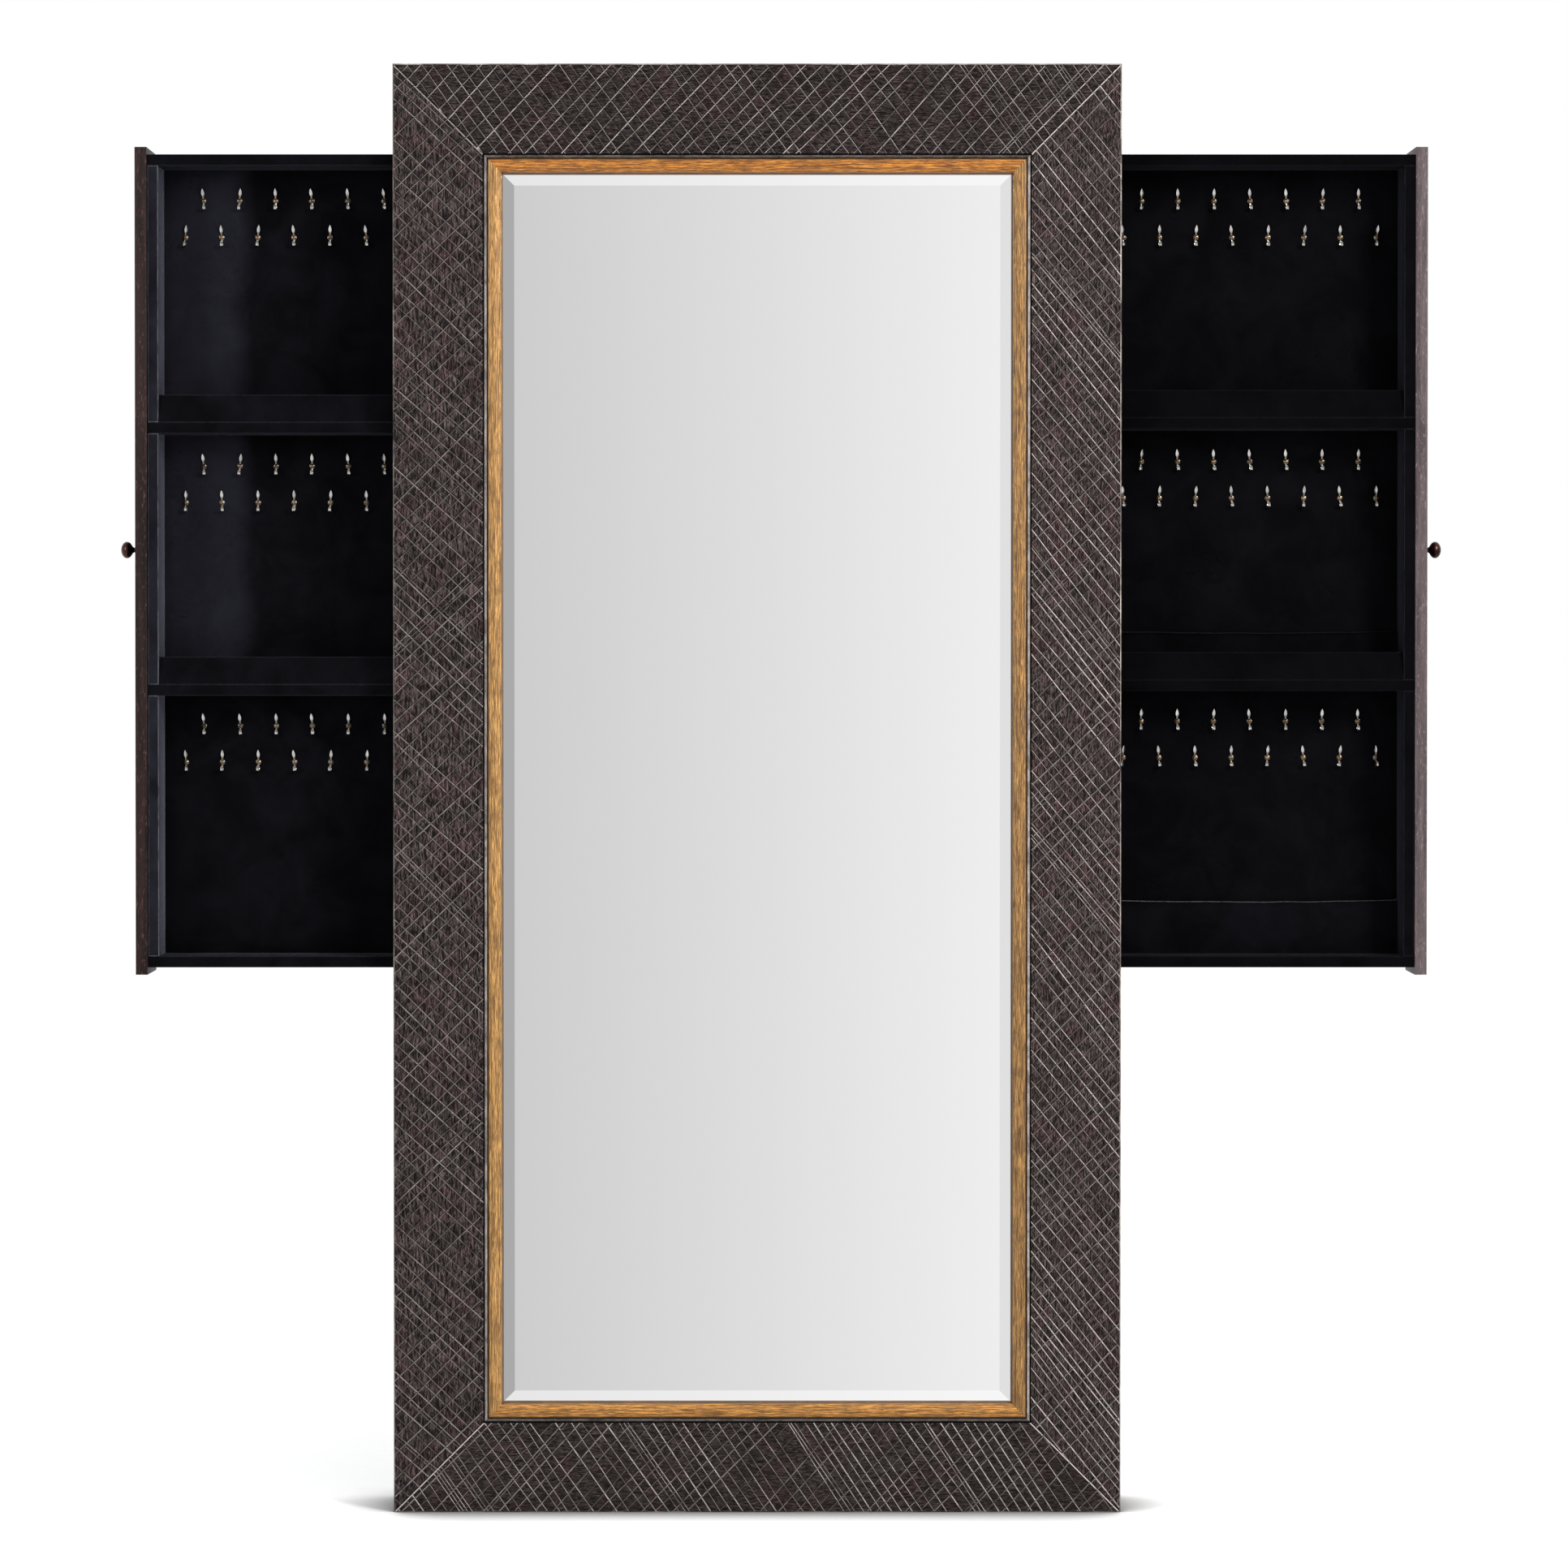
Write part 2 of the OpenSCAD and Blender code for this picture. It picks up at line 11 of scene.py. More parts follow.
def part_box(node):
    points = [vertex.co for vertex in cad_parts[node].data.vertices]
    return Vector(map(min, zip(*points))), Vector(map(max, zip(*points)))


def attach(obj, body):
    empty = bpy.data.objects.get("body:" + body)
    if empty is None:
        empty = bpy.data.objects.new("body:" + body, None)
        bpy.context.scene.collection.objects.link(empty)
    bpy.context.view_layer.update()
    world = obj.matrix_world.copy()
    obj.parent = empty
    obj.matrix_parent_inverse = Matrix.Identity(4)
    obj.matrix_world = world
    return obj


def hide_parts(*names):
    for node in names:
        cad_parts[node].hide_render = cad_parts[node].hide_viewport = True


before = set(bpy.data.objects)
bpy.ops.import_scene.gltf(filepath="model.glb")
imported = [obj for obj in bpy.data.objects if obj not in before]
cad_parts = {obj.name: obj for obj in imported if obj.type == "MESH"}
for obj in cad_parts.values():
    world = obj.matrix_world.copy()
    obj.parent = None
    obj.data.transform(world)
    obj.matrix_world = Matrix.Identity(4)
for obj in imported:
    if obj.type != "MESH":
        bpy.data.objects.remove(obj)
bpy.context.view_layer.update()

MM = 0.001
SIDES = ("left", "right")
OUTWARD = {"left": -1, "right": 1}


# ---------------------------------------------------------------- node helpers

class Nodes:
    """Adds nodes to a tree. Each method returns the socket that carries its result."""

    def __init__(self, tree):
        self.tree = tree

    def put(self, socket, value):
        """Links the socket to the value when that is another socket, and else sets it."""
        if isinstance(value, bpy.types.NodeSocket):
            self.tree.links.new(value, socket)
        elif isinstance(value, tuple) and len(value) == 3 and socket.type == "RGBA":
            socket.default_value = (*value, 1.0)
        else:
            socket.default_value = value

    def range(self, value, low, high, out_low=0.0, out_high=1.0, interpolation="LINEAR"):
        node = self.tree.nodes.new("ShaderNodeMapRange")
        node.clamp = True
        node.interpolation_type = interpolation
        self.put(node.inputs["Value"], value)
        names = ("From Min", "From Max", "To Min", "To Max")
        for name, number in zip(names, (low, high, out_low, out_high)):
            self.put(node.inputs[name], number)
        return node.outputs["Result"]

    def math(self, operation, a, b=0.0):
        node = self.tree.nodes.new("ShaderNodeMath")
        node.operation = operation
        self.put(node.inputs[0], a)
        self.put(node.inputs[1], b)
        return node.outputs[0]

    def mix(self, share, a, b):
        node = self.tree.nodes.new("ShaderNodeMix")
        node.data_type = "RGBA"
        self.put(node.inputs["Factor"], share)
        self.put(node.inputs["A"], a)
        self.put(node.inputs["B"], b)
        return node.outputs["Result"]


class Paint(Nodes):
    """A material with one Principled shader and procedural textures in object coordinates."""

    def __init__(self, name):
        self.material = bpy.data.materials.new(name)
        self.material.use_nodes = True
        super().__init__(self.material.node_tree)
        self.tree.nodes.clear()
        self.shader = self.tree.nodes.new("ShaderNodeBsdfPrincipled")
        output = self.tree.nodes.new("ShaderNodeOutputMaterial")
        self.tree.links.new(self.shader.outputs[0], output.inputs["Surface"])

    def set(self, name, value):
        self.put(self.shader.inputs[name], value)

    def where(self, scale):
        """Object coordinates in metres, times a scale along each axis."""
        place = self.tree.nodes.new("ShaderNodeTexCoord")
        mapping = self.tree.nodes.new("ShaderNodeMapping")
        mapping.inputs["Scale"].default_value = scale
        self.tree.links.new(place.outputs["Object"], mapping.inputs["Vector"])
        return mapping.outputs["Vector"]

    def noise(self, scale, detail=3.0, roughness=0.55, distortion=0.0):
        node = self.tree.nodes.new("ShaderNodeTexNoise")
        node.inputs["Scale"].default_value = 1.0
        node.inputs["Detail"].default_value = detail
        node.inputs["Roughness"].default_value = roughness
        node.inputs["Distortion"].default_value = distortion
        self.tree.links.new(self.where(scale), node.inputs["Vector"])
        return node.outputs["Fac"]

    def attribute(self, name):
        node = self.tree.nodes.new("ShaderNodeAttribute")
        node.attribute_name = name
        return node.outputs["Fac"]

    def bump(self, height, distance, strength=1.0):
        node = self.tree.nodes.new("ShaderNodeBump")
        node.inputs["Strength"].default_value = strength
        node.inputs["Distance"].default_value = distance
        self.tree.links.new(height, node.inputs["Height"])
        self.set("Normal", node.outputs["Normal"])


def grey(value):
    return (value, value, value)


def shade(colour, factor):
    return tuple(c * factor for c in colour)


def stretched(axis, across, along):
    """Scale that runs a texture's streaks along one axis: 0 is X, 1 is Y and 2 is Z."""
    scale = [across, across, across]
    scale[axis] = along
    return tuple(scale)


# ---------------------------------------------------------------- materials

def carved_wood(name, axis, ground, contrast, seed, brightest, fineness):
    """Dark wire-brushed wood with pale limed colour in the cuts, painted as a highlight on the walls that
    face the light.

    Faces carry pale (1 painted highlight, above that painted pale all over, -1 painted shade) and tone
    (their cell's lightness).
    """
    p = Paint(name)
    grain = p.noise(stretched(axis, 330 * fineness, 62 * fineness), 5, 0.8, 0.7)
    fine = p.noise(stretched(axis, 900, 190), 3, 0.7)
    patches = p.noise((9 + seed, 9, 9), 3, 0.5)
    worn = p.noise((34, 34, 34 + seed), 3, 0.6)
    tint = p.noise((27, 27 + seed, 27), 2, 0.5)
    streak = p.math("ADD", p.math("MULTIPLY", grain, 0.80), p.math("MULTIPLY", fine, 0.20))
    streak = p.range(streak, 0.5 - 0.09 / contrast, 0.5 + 0.13 / contrast)
    depth = p.math("POWER", streak, 1.6)
    lightness = p.math("MULTIPLY", depth, p.range(p.attribute("tone"), 0, 1, 0.7, 1.3))
    lightness = p.math("MULTIPLY", lightness, p.range(patches, 0.35, 0.65, 0.86, 1.14))
    body = p.mix(lightness, shade(ground, 0.10), shade(ground, 3.5))
    violet = (ground[0] * 1.35, ground[1] * 0.95, ground[2] * 1.02)
    violet = p.mix(lightness, shade(violet, 0.18), shade(violet, 3.0))
    body = p.mix(p.range(tint, 0.5, 0.66, 0.0, 0.6), body, violet)
    # painted shade: cut walls that face away from the light (pale below 0) are darkened nearly to black
    body = p.mix(p.range(p.attribute("pale"), 0, -1, 0.0, 0.9), body, shade(ground, 0.05))
    warm_white = (1.0, 0.90, 0.84)
    # pale limed colour that shows only where pale is above 0, on cut walls facing the light: a painted
    # highlight
    wash_and_highlight = p.mix(fine, shade((0.47, 0.415, 0.385), brightest), shade(warm_white, brightest))
    shown = p.math("MULTIPLY", p.range(p.attribute("pale"), 0, 1), p.range(grain, 0.36, 0.5, 0.5, 1.0))
    shown = p.math("MULTIPLY", shown, p.range(worn, 0.38, 0.56, 0.45, 1.0))
    shown = p.math("MAXIMUM", shown, p.range(p.attribute("pale"), 1.1, 1.5))
    p.set("Base Color", p.mix(shown, body, wash_and_highlight))
    p.set("Roughness", p.range(grain, 0.35, 0.7, 0.46, 0.66))
    p.set("Specular IOR Level", 0.07)
    p.bump(streak, 0.0009, 0.9)
    return p.material


def gilded_wood(name, axis, light, deep):
    """Rubbed gold leaf over clay: lengthwise streaks, painted shade at both edges where the face falls away,
    and worn brown in the scribed lines.
    """
    p = Paint(name)
    streak = p.noise(stretched(axis, 560, 20), 5, 0.65, 0.4)
    hair = p.noise(stretched(axis, 1500, 60), 3, 0.6)
    cloud = p.noise((26, 26, 26), 4, 0.6)
    speck = p.noise(stretched(axis, 900, 420), 2, 0.6)
    across = p.attribute("across")
    colour = p.mix(p.range(streak, 0.40, 0.57), deep, light)
    colour = p.mix(p.range(hair, 0.46, 0.56, 0.0, 0.85), colour, shade(deep, 0.62))
    colour = p.mix(p.range(cloud, 0.54, 0.68, 0.0, 0.5), colour, shade(deep, 0.7))
    # painted shade towards both edges, where the liner's face falls away
    edge = p.math("ADD", p.range(across, 0.2, 0.03), p.range(across, 0.93, 1.0))
    edge = p.math("MULTIPLY", edge, p.range(cloud, 0.3, 0.7, 1.0, 0.5))
    colour = p.mix(edge, colour, (0.10, 0.052, 0.022))
    scribed = p.math("MULTIPLY", p.attribute("scribe"), p.range(hair, 0.3, 0.6, 0.9, 0.3))
    colour = p.mix(scribed, colour, (0.13, 0.065, 0.028))
    colour = p.mix(p.range(speck, 0.66, 0.71, 0.0, 0.85), colour, (0.05, 0.026, 0.012))
    p.set("Base Color", colour)
    p.set("Metallic", 0.35)
    p.set("Roughness", p.range(streak, 0.3, 0.7, 0.36, 0.55))
    p.bump(streak, 0.0004, 0.6)
    return p.material


def mirror_silver():
    p = Paint("mirror_silver")
    film = p.noise((3, 3, 3), 2, 0.5)
    p.set("Base Color", p.mix(film, (0.985, 0.985, 0.985), (0.995, 0.995, 0.995)))
    p.set("Metallic", 1.0)
    p.set("Roughness", p.range(film, 0.3, 0.7, 0.012, 0.022))
    return p.material


def velvet(name, ground, nap, rim=(0.021, 0.022, 0.026), creases=0.0):
    """Black velvet with patches of pile brushed one way or the other, and a painted highlight line on the
    arrises.

    Faces carry rim, the painted highlight. A creased velvet also has fine creases, and its points carry
    brushed:
    how far a painted pool of light reaches.
    """
    p = Paint(name)
    pile = p.noise((2600, 2600, 2600), 2, 0.6)
    patches = p.noise((14, 14, 14), 4, 0.6, 0.6)
    thread = p.noise((420, 420, 70), 3, 0.6)
    black = (ground * 0.93, ground * 0.92, ground * 1.32)
    colour = p.mix(p.range(patches, 0.36, 0.66), shade(black, 0.55), shade(black, 1.8))
    colour = p.mix(p.range(pile, 0.45, 0.75, 0.0, 0.35), colour, shade(black, 3.5))
    if creases:
        # a paler copy of the velvet for the painted pool of light
        pale = p.mix(p.range(patches, 0.36, 0.66), shade(black, 4.2), shade(black, 6.0))
        colour = p.mix(p.attribute("brushed"), colour, pale)
        colour = creased(p, colour, black, creases)
    # painted highlight along the rounded arrises, where the faces carry rim
    broken = p.math("MULTIPLY", p.attribute("rim"), p.range(thread, 0.36, 0.56, 0.3, 1.0))
    p.set("Base Color", p.mix(broken, colour, rim))
    p.set("Roughness", p.range(patches, 0.3, 0.7, 0.88, 0.98))
    p.set("Specular IOR Level", 0.03)
    p.set("Sheen Weight", nap)
    p.set("Sheen Roughness", 0.22)
    p.set("Sheen Tint", (0.55, 0.58, 0.74))
    p.bump(pile, 0.0006, 0.7)
    return p.material


def creased(p, colour, black, strength):
    """Thin wandering creases in patches: a line of painted shade with a painted highlight on the raised edge
    beside it.
    """
    bent = p.noise((30, 30, 44), 4, 0.6, 1.4)
    here = p.noise((9, 9, 12), 2, 0.5)
    fold = p.math("ABSOLUTE", p.math("SUBTRACT", bent, 0.5))
    crease_shade = p.math("MULTIPLY", p.range(fold, 0.012, 0.0), p.range(here, 0.5, 0.6, 0.0, strength))
    above = p.math("SUBTRACT", bent, 0.515)
    raised_edge_highlight = p.math("MULTIPLY", p.range(above, 0.014, 0.0), p.range(bent, 0.51, 0.515))
    raised_edge_highlight = p.math("MULTIPLY", raised_edge_highlight, p.range(here, 0.5, 0.6, 0.0, strength))
    colour = p.mix(crease_shade, colour, shade(black, 0.15))
    return p.mix(p.math("MULTIPLY", raised_edge_highlight, 0.5), colour, shade(black, 4.0))


def walnut(name, axis, light, deep, chipped=0.5, dull=0.0):
    """Open-pored brown wood: lengthwise figure with short dark pores and a few pale chips."""
    p = Paint(name)
    figure = p.noise(stretched(axis, 95, 4.5), 4, 0.6, 0.8)
    pores = p.noise(stretched(axis, 1100, 90), 3, 0.65)
    flecks = p.noise(stretched(axis, 480, 95), 2, 0.65)
    colour = p.mix(p.range(figure, 0.36, 0.66), deep, light)
    colour = p.mix(p.range(pores, 0.56, 0.68, 0.0, 0.75), colour, shade(deep, 0.35))
    colour = p.mix(p.range(flecks, 0.60, 0.68, 0.0, chipped), colour, shade(light, 3.0))
    colour = p.mix(p.math("MULTIPLY", p.attribute("rim"), 0.45), colour, shade(light, 1.7))
    p.set("Base Color", colour)
    p.set("Roughness", p.range(pores, 0.4, 0.7, 0.42 + dull, 0.66 + dull))
    p.set("Specular IOR Level", 0.16)
    p.bump(pores, 0.0003, 0.5)
    return p.material


def cut_metal(name, light, deep, roughness, axis=2, brushed=180, tarnish=None):
    """Plated or cast metal with tool marks along one axis and faint clouding.

    With a tarnish colour, the points carry rubbed: 1 where the metal is bright and 0 where it is tarnished.
    """
    p = Paint(name)
    marks = p.noise(stretched(axis, brushed * 10, brushed), 3, 0.6)
    cloud = p.noise((60, 60, 60), 4, 0.6)
    colour = p.mix(p.range(cloud, 0.35, 0.65), deep, light)
    if tarnish:
        colour = p.mix(p.attribute("rubbed"), tarnish, colour)
    p.set("Base Color", colour)
    p.set("Metallic", 1.0)
    p.set("Roughness", p.range(marks, 0.3, 0.7, roughness * 0.75, roughness * 1.3))
    p.bump(marks, 0.0001, 0.35)
    return p.material


def pressed_board(name, light, deep):
    """Hardboard: a brown pressed-fibre sheet."""
    p = Paint(name)
    fibre = p.noise((900, 900, 900), 4, 0.7)
    cloud = p.noise((12, 12, 12), 3, 0.5)
    colour = p.mix(p.range(fibre, 0.35, 0.65), deep, light)
    p.set("Base Color", p.mix(p.range(cloud, 0.4, 0.7, 0.0, 0.4), colour, shade(deep, 0.8)))
    p.set("Roughness", p.range(fibre, 0.3, 0.7, 0.7, 0.9))
    p.bump(fibre, 0.0003, 0.6)
    return p.material


ESPRESSO = (0.0250, 0.0190, 0.0180)
CASE_LIGHT, CASE_DEEP = (0.060, 0.042, 0.034), (0.030, 0.021, 0.018)
# painted highlight colours for the velvet arrises, one for each tray
DARK_RIM_LEFT, DARK_RIM_RIGHT = (0.011, 0.0115, 0.014), (0.004, 0.0041, 0.006)
LOOK = {
    "stile_left": carved_wood("carved_stile_left", 2, shade(ESPRESSO, 1.06), 1.6, 0, 0.44, 1.0),
    "stile_right": carved_wood("carved_stile_right", 2, shade(ESPRESSO, 1.18), 1.6, 5, 0.92, 1.5),
    "rail_top": carved_wood("carved_rail_top", 0, shade(ESPRESSO, 0.82), 1.3, 2, 0.88, 1.6),
    "rail_bottom": carved_wood("carved_rail_bottom", 0, shade(ESPRESSO, 0.90), 1.2, 3, 0.76, 1.6),
    # the four gilt lengths are lit and shaded copies of one gold, one per side: painted light and shade
    "gilt_left": gilded_wood("gilt_left", 2, (0.57, 0.310, 0.094), (0.17, 0.082, 0.021)),
    "gilt_right": gilded_wood("gilt_right", 2, (0.46, 0.244, 0.071), (0.11, 0.052, 0.015)),
    "gilt_top": gilded_wood("gilt_top", 0, (0.62, 0.236, 0.028), (0.15, 0.050, 0.007)),
    "gilt_bottom": gilded_wood("gilt_bottom", 0, (0.60, 0.270, 0.050), (0.16, 0.068, 0.013)),
    "mirror": mirror_silver(),
    "hardboard": pressed_board("pressed_hardboard", (0.19, 0.12, 0.07), (0.11, 0.066, 0.04)),
    "case": walnut("stained_case_wood", 2, CASE_LIGHT, CASE_DEEP, 0.3),
    "case_level": walnut("stained_case_wood_level", 0, CASE_LIGHT, CASE_DEEP, 0.3, 0.3),
    "back": walnut("stained_back_panel", 2, (0.072, 0.052, 0.042), (0.040, 0.028, 0.023), 0.2),
    "steel": cut_metal("zinc_plated_steel", (0.60, 0.61, 0.63), (0.44, 0.45, 0.48), 0.34, axis=0),
    # the two panels are a shaded and a lit copy of one walnut: painted shade on the left, painted light on
    # the right
    "panel_left": walnut("walnut_left", 2, (0.020, 0.0092, 0.0078), (0.0050, 0.0023, 0.0019), 0.9),
    "panel_right": walnut("walnut_right", 2, (0.088, 0.066, 0.069), (0.042, 0.031, 0.033), 0.35),
    # the trays' velvets are lit and shaded copies of one black velvet: painted shade in the right tray,
    # painted light and sheen on the left tray's outer side board
    "boards_left": velvet("velvet_on_boards_left", 0.0019, 0.07, DARK_RIM_LEFT),
    "boards_right": velvet("velvet_on_boards_right", 0.0009, 0.045, DARK_RIM_RIGHT),
    "outer_side_left": velvet("velvet_outer_side_left", 0.0062, 0.35, (0.085, 0.088, 0.098)),
    "outer_side_right": velvet("velvet_outer_side_right", 0.0013, 0.08, (0.010, 0.0105, 0.013)),
    "lining_left": velvet("velvet_lining_left", 0.0019, 0.10, creases=0.5),
    "lining_right": velvet("velvet_lining_right", 0.0013, 0.08, creases=0.9),
    # the bottom pocket is a lit copy with a painted highlight on its hem, the middle pocket a copy in
    # painted shade under the lip
    "pocket_bottom": velvet("velvet_bottom_pocket", 0.0019, 0.10, (0.075, 0.075, 0.08)),
    "pocket_middle": velvet("velvet_middle_pocket", 0.0011, 0.06, (0.010, 0.010, 0.012)),
    "bronze": cut_metal(
        "antique_bronze", (0.80, 0.78, 0.75), (0.46, 0.44, 0.42), 0.24,
        brushed=120, tarnish=(0.24, 0.215, 0.19),
    ),
    "knob_bronze": cut_metal(
        "antique_bronze_knob", (0.085, 0.040, 0.034), (0.020, 0.011, 0.010), 0.26, brushed=120,
    ),
    "brass": cut_metal("turned_brass", (0.34, 0.23, 0.13), (0.10, 0.06, 0.035), 0.28, brushed=150),
}


# ---------------------------------------------------------------- mesh helpers

def piece(name, bm, look, body, stands_for, smooth=None):
    """A finished object with its material, body and the CAD nodes it stands for. Uses up the bmesh.

    smooth is the angle in degrees under which its edges shade soft.
    """
    mesh = bpy.data.meshes.new(name)
    bm.to_mesh(mesh)
    bm.free()
    made = bpy.data.objects.new(name, mesh)
    bpy.context.scene.collection.objects.link(made)
    mesh.materials.append(LOOK[look])
    if smooth is not None:
        mesh.shade_smooth()
        mesh.set_sharp_from_angle(angle=math.radians(smooth))
    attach(made, body)
    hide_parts(*stands_for)
    return made


def repaint(node, look):
    """A CAD node whose shape is right, with its real material."""
    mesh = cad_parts[node].data
    mesh.materials.clear()
    mesh.materials.append(LOOK[look])


def welded(node):
    """A bmesh of the CAD node's shape, with its flat faces whole again."""
    bm = bmesh.new()
    bm.from_mesh(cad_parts[node].data)
    bmesh.ops.remove_doubles(bm, verts=bm.verts, dist=1e-6)
    bmesh.ops.dissolve_limit(bm, angle_limit=math.radians(0.5), verts=bm.verts, edges=bm.edges)
    return bm


def islands(node):
    """(lowest, highest) corner of each separate solid in a CAD node."""
    bm = bmesh.new()
    bm.from_mesh(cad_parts[node].data)
    bmesh.ops.remove_doubles(bm, verts=bm.verts, dist=1e-6)
    seen, found = set(), []
    for start in bm.verts:
        if start.index in seen:
            continue
        seen.add(start.index)
        stack, points = [start], []
        while stack:
            v = stack.pop()
            points.append(v.co.copy())
            for e in v.link_edges:
                other = e.other_vert(v)
                if other.index not in seen:
                    seen.add(other.index)
                    stack.append(other)
        array = np.array(points)
        found.append((Vector(array.min(0)), Vector(array.max(0))))
    bm.free()
    return found


def softened(name, node, look, body, radius, waver=0.0, trim=None):
    """The node's own shape with rounded arrises, whose faces carry rim.

    trim moves points before the rounding, and waver is the height of a slow unevenness after it.
    """
    bm = welded(node)
    if trim:
        for v in bm.verts:
            v.co = trim(v.co)
    sharp = [e for e in bm.edges if e.is_manifold and e.calc_face_angle(0) > math.radians(20)]
    rim = bm.faces.layers.float.new("rim")
    made = bmesh.ops.bevel(
        bm, geom=sharp, offset=radius, segments=3, profile=0.5, affect="EDGES", clamp_overlap=True
    )
    for f in made["faces"]:
        f[rim] = 1.0
    if waver:
        for v in bm.verts:
            v.co += v.normal * waver * noise.noise(v.co * 9)
    return piece(name, bm, look, body, (node,), smooth=50)


def lathe(bm, profile, steps, matrix):
    """Adds a turned solid. profile is (radius, height), from the axis at its foot to the axis at its top."""
    rings = []
    for r, h in profile:
        if r < 1e-7:
            rings.append([bm.verts.new(matrix @ Vector((0, 0, h)))])
        else:
            rings.append([
                bm.verts.new(matrix @ Vector((r * math.cos(a), r * math.sin(a), h)))
                for a in (2 * math.pi * i / steps for i in range(steps))
            ])
    for low, high in zip(rings, rings[1:]):
        for i in range(steps):
            j = (i + 1) % steps
            corners = [low[i % len(low)], low[j % len(low)], high[j % len(high)], high[i % len(high)]]
            unique = list(dict.fromkeys(corners))
            if len(unique) > 2:
                bm.faces.new(unique)


# ---------------------------------------------------------------- camera, light and floor

EYE_DISTANCE = 8.6
EYE_HEIGHT = 1.33
PITCH_DOWN = math.radians(0.89)
SENSOR = 36.0
OBJECT_SHARE = 0.9246  # of the picture's height that the frame takes


def add_camera():
    """Straight in front and aimed a little down. The frame's share of the picture sets the lens."""
    low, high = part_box("frame_stile_left")
    height = high.z - low.z
    data = bpy.data.cameras.new("camera")
    data.sensor_width = SENSOR
    data.lens = SENSOR * OBJECT_SHARE * EYE_DISTANCE / height
    data.shift_x = 0.0171
    data.shift_y = -0.0394
    data.clip_end = 100
    camera = bpy.data.objects.new("camera", data)
    camera.location = (0, low.y - EYE_DISTANCE, EYE_HEIGHT)
    camera.rotation_euler = (math.pi / 2 - PITCH_DOWN, 0, 0)
    bpy.context.scene.collection.objects.link(camera)
    bpy.context.scene.camera = camera


def add_light(name, place, target, size, power, colour=(1, 1, 1)):
    data = bpy.data.lights.new(name, "AREA")
    data.shape = "RECTANGLE"
    data.size, data.size_y = size
    data.energy = power
    data.color = colour
    light = bpy.data.objects.new(name, data)
    light.location = place
    light.rotation_euler = (Vector(target) - Vector(place)).to_track_quat("-Z", "Y").to_euler()
    bpy.context.scene.collection.objects.link(light)


# The wall in front of the glass: how bright it is from left to right, by a direction's x over its -y.
WALL_REACH = 0.6
WALL_STOPS = [
    (-0.6, 0.34), (-0.228, 0.415), (-0.12, 0.53), (-0.045, 0.609), (0.0, 0.734),
    (0.045, 0.871), (0.13, 0.90), (0.228, 0.76), (0.6, 0.72),
]


def wall_brightness(nodes, x, y):
    """The wall's brightness in a direction."""
    forward = nodes.math("MAXIMUM", nodes.math("MULTIPLY", y, -1.0), 0.05)
    sideways = nodes.math("DIVIDE", x, forward)
    wall = nodes.tree.nodes.new("ShaderNodeValToRGB")
    ramp = wall.color_ramp
    ramp.elements[0].position = 0.0
    ramp.elements[1].position = 1.0
    for _ in WALL_STOPS[2:]:
        ramp.elements.new(0.5)
    for element, (at, value) in zip(ramp.elements, WALL_STOPS):
        element.position = (at + WALL_REACH) / (2 * WALL_REACH)
        element.color = (*grey(value), 1)
    share = nodes.math("DIVIDE", nodes.math("ADD", sideways, WALL_REACH), 2 * WALL_REACH)
    nodes.put(wall.inputs[0], share)
    return wall.outputs[0]


def background(nodes, strength):
    node = nodes.tree.nodes.new("ShaderNodeBackground")
    nodes.put(node.inputs["Color"], grey(1.0))
    nodes.put(node.inputs["Strength"], strength)
    return node.outputs[0]


def add_world():
    """A white studio. The mirror shows its graded front wall, and the camera sees plain white."""
    world = bpy.data.worlds.new("studio")
    bpy.context.scene.world = world
    world.use_nodes = True
    world.node_tree.nodes.clear()
    nodes = Nodes(world.node_tree)
    place = nodes.tree.nodes.new("ShaderNodeTexCoord")
    parts = nodes.tree.nodes.new("ShaderNodeSeparateXYZ")
    nodes.put(parts.inputs[0], place.outputs["Generated"])
    x, y, z = parts.outputs
    wall = wall_brightness(nodes, x, y)
    # the grading halves above and below the wall and fades out to the sides; the studio is brighter high up
    steep = nodes.math("ABSOLUTE", z)
    shortfall = nodes.math("SUBTRACT", 1.0, wall)
    shortfall = nodes.math("MULTIPLY", shortfall, nodes.range(steep, 0.17, 0.26, 1.0, 0.5, "SMOOTHSTEP"))
    shortfall = nodes.math("MULTIPLY", shortfall, nodes.range(y, -0.75, -0.2, 1.0, 0.0, "SMOOTHSTEP"))
    level = nodes.math("SUBTRACT", 1.0, shortfall)
    level = nodes.math("MULTIPLY", level, nodes.range(z, 0.3, 0.6, 1.0, 1.22, "SMOOTHSTEP"))
    path = nodes.tree.nodes.new("ShaderNodeLightPath")
    choose = nodes.tree.nodes.new("ShaderNodeMixShader")
    nodes.put(choose.inputs[0], path.outputs["Is Camera Ray"])
    nodes.put(choose.inputs[1], background(nodes, level))
    nodes.put(choose.inputs[2], background(nodes, 1.0))
    out = nodes.tree.nodes.new("ShaderNodeOutputWorld")
    nodes.put(out.inputs["Surface"], choose.outputs[0])


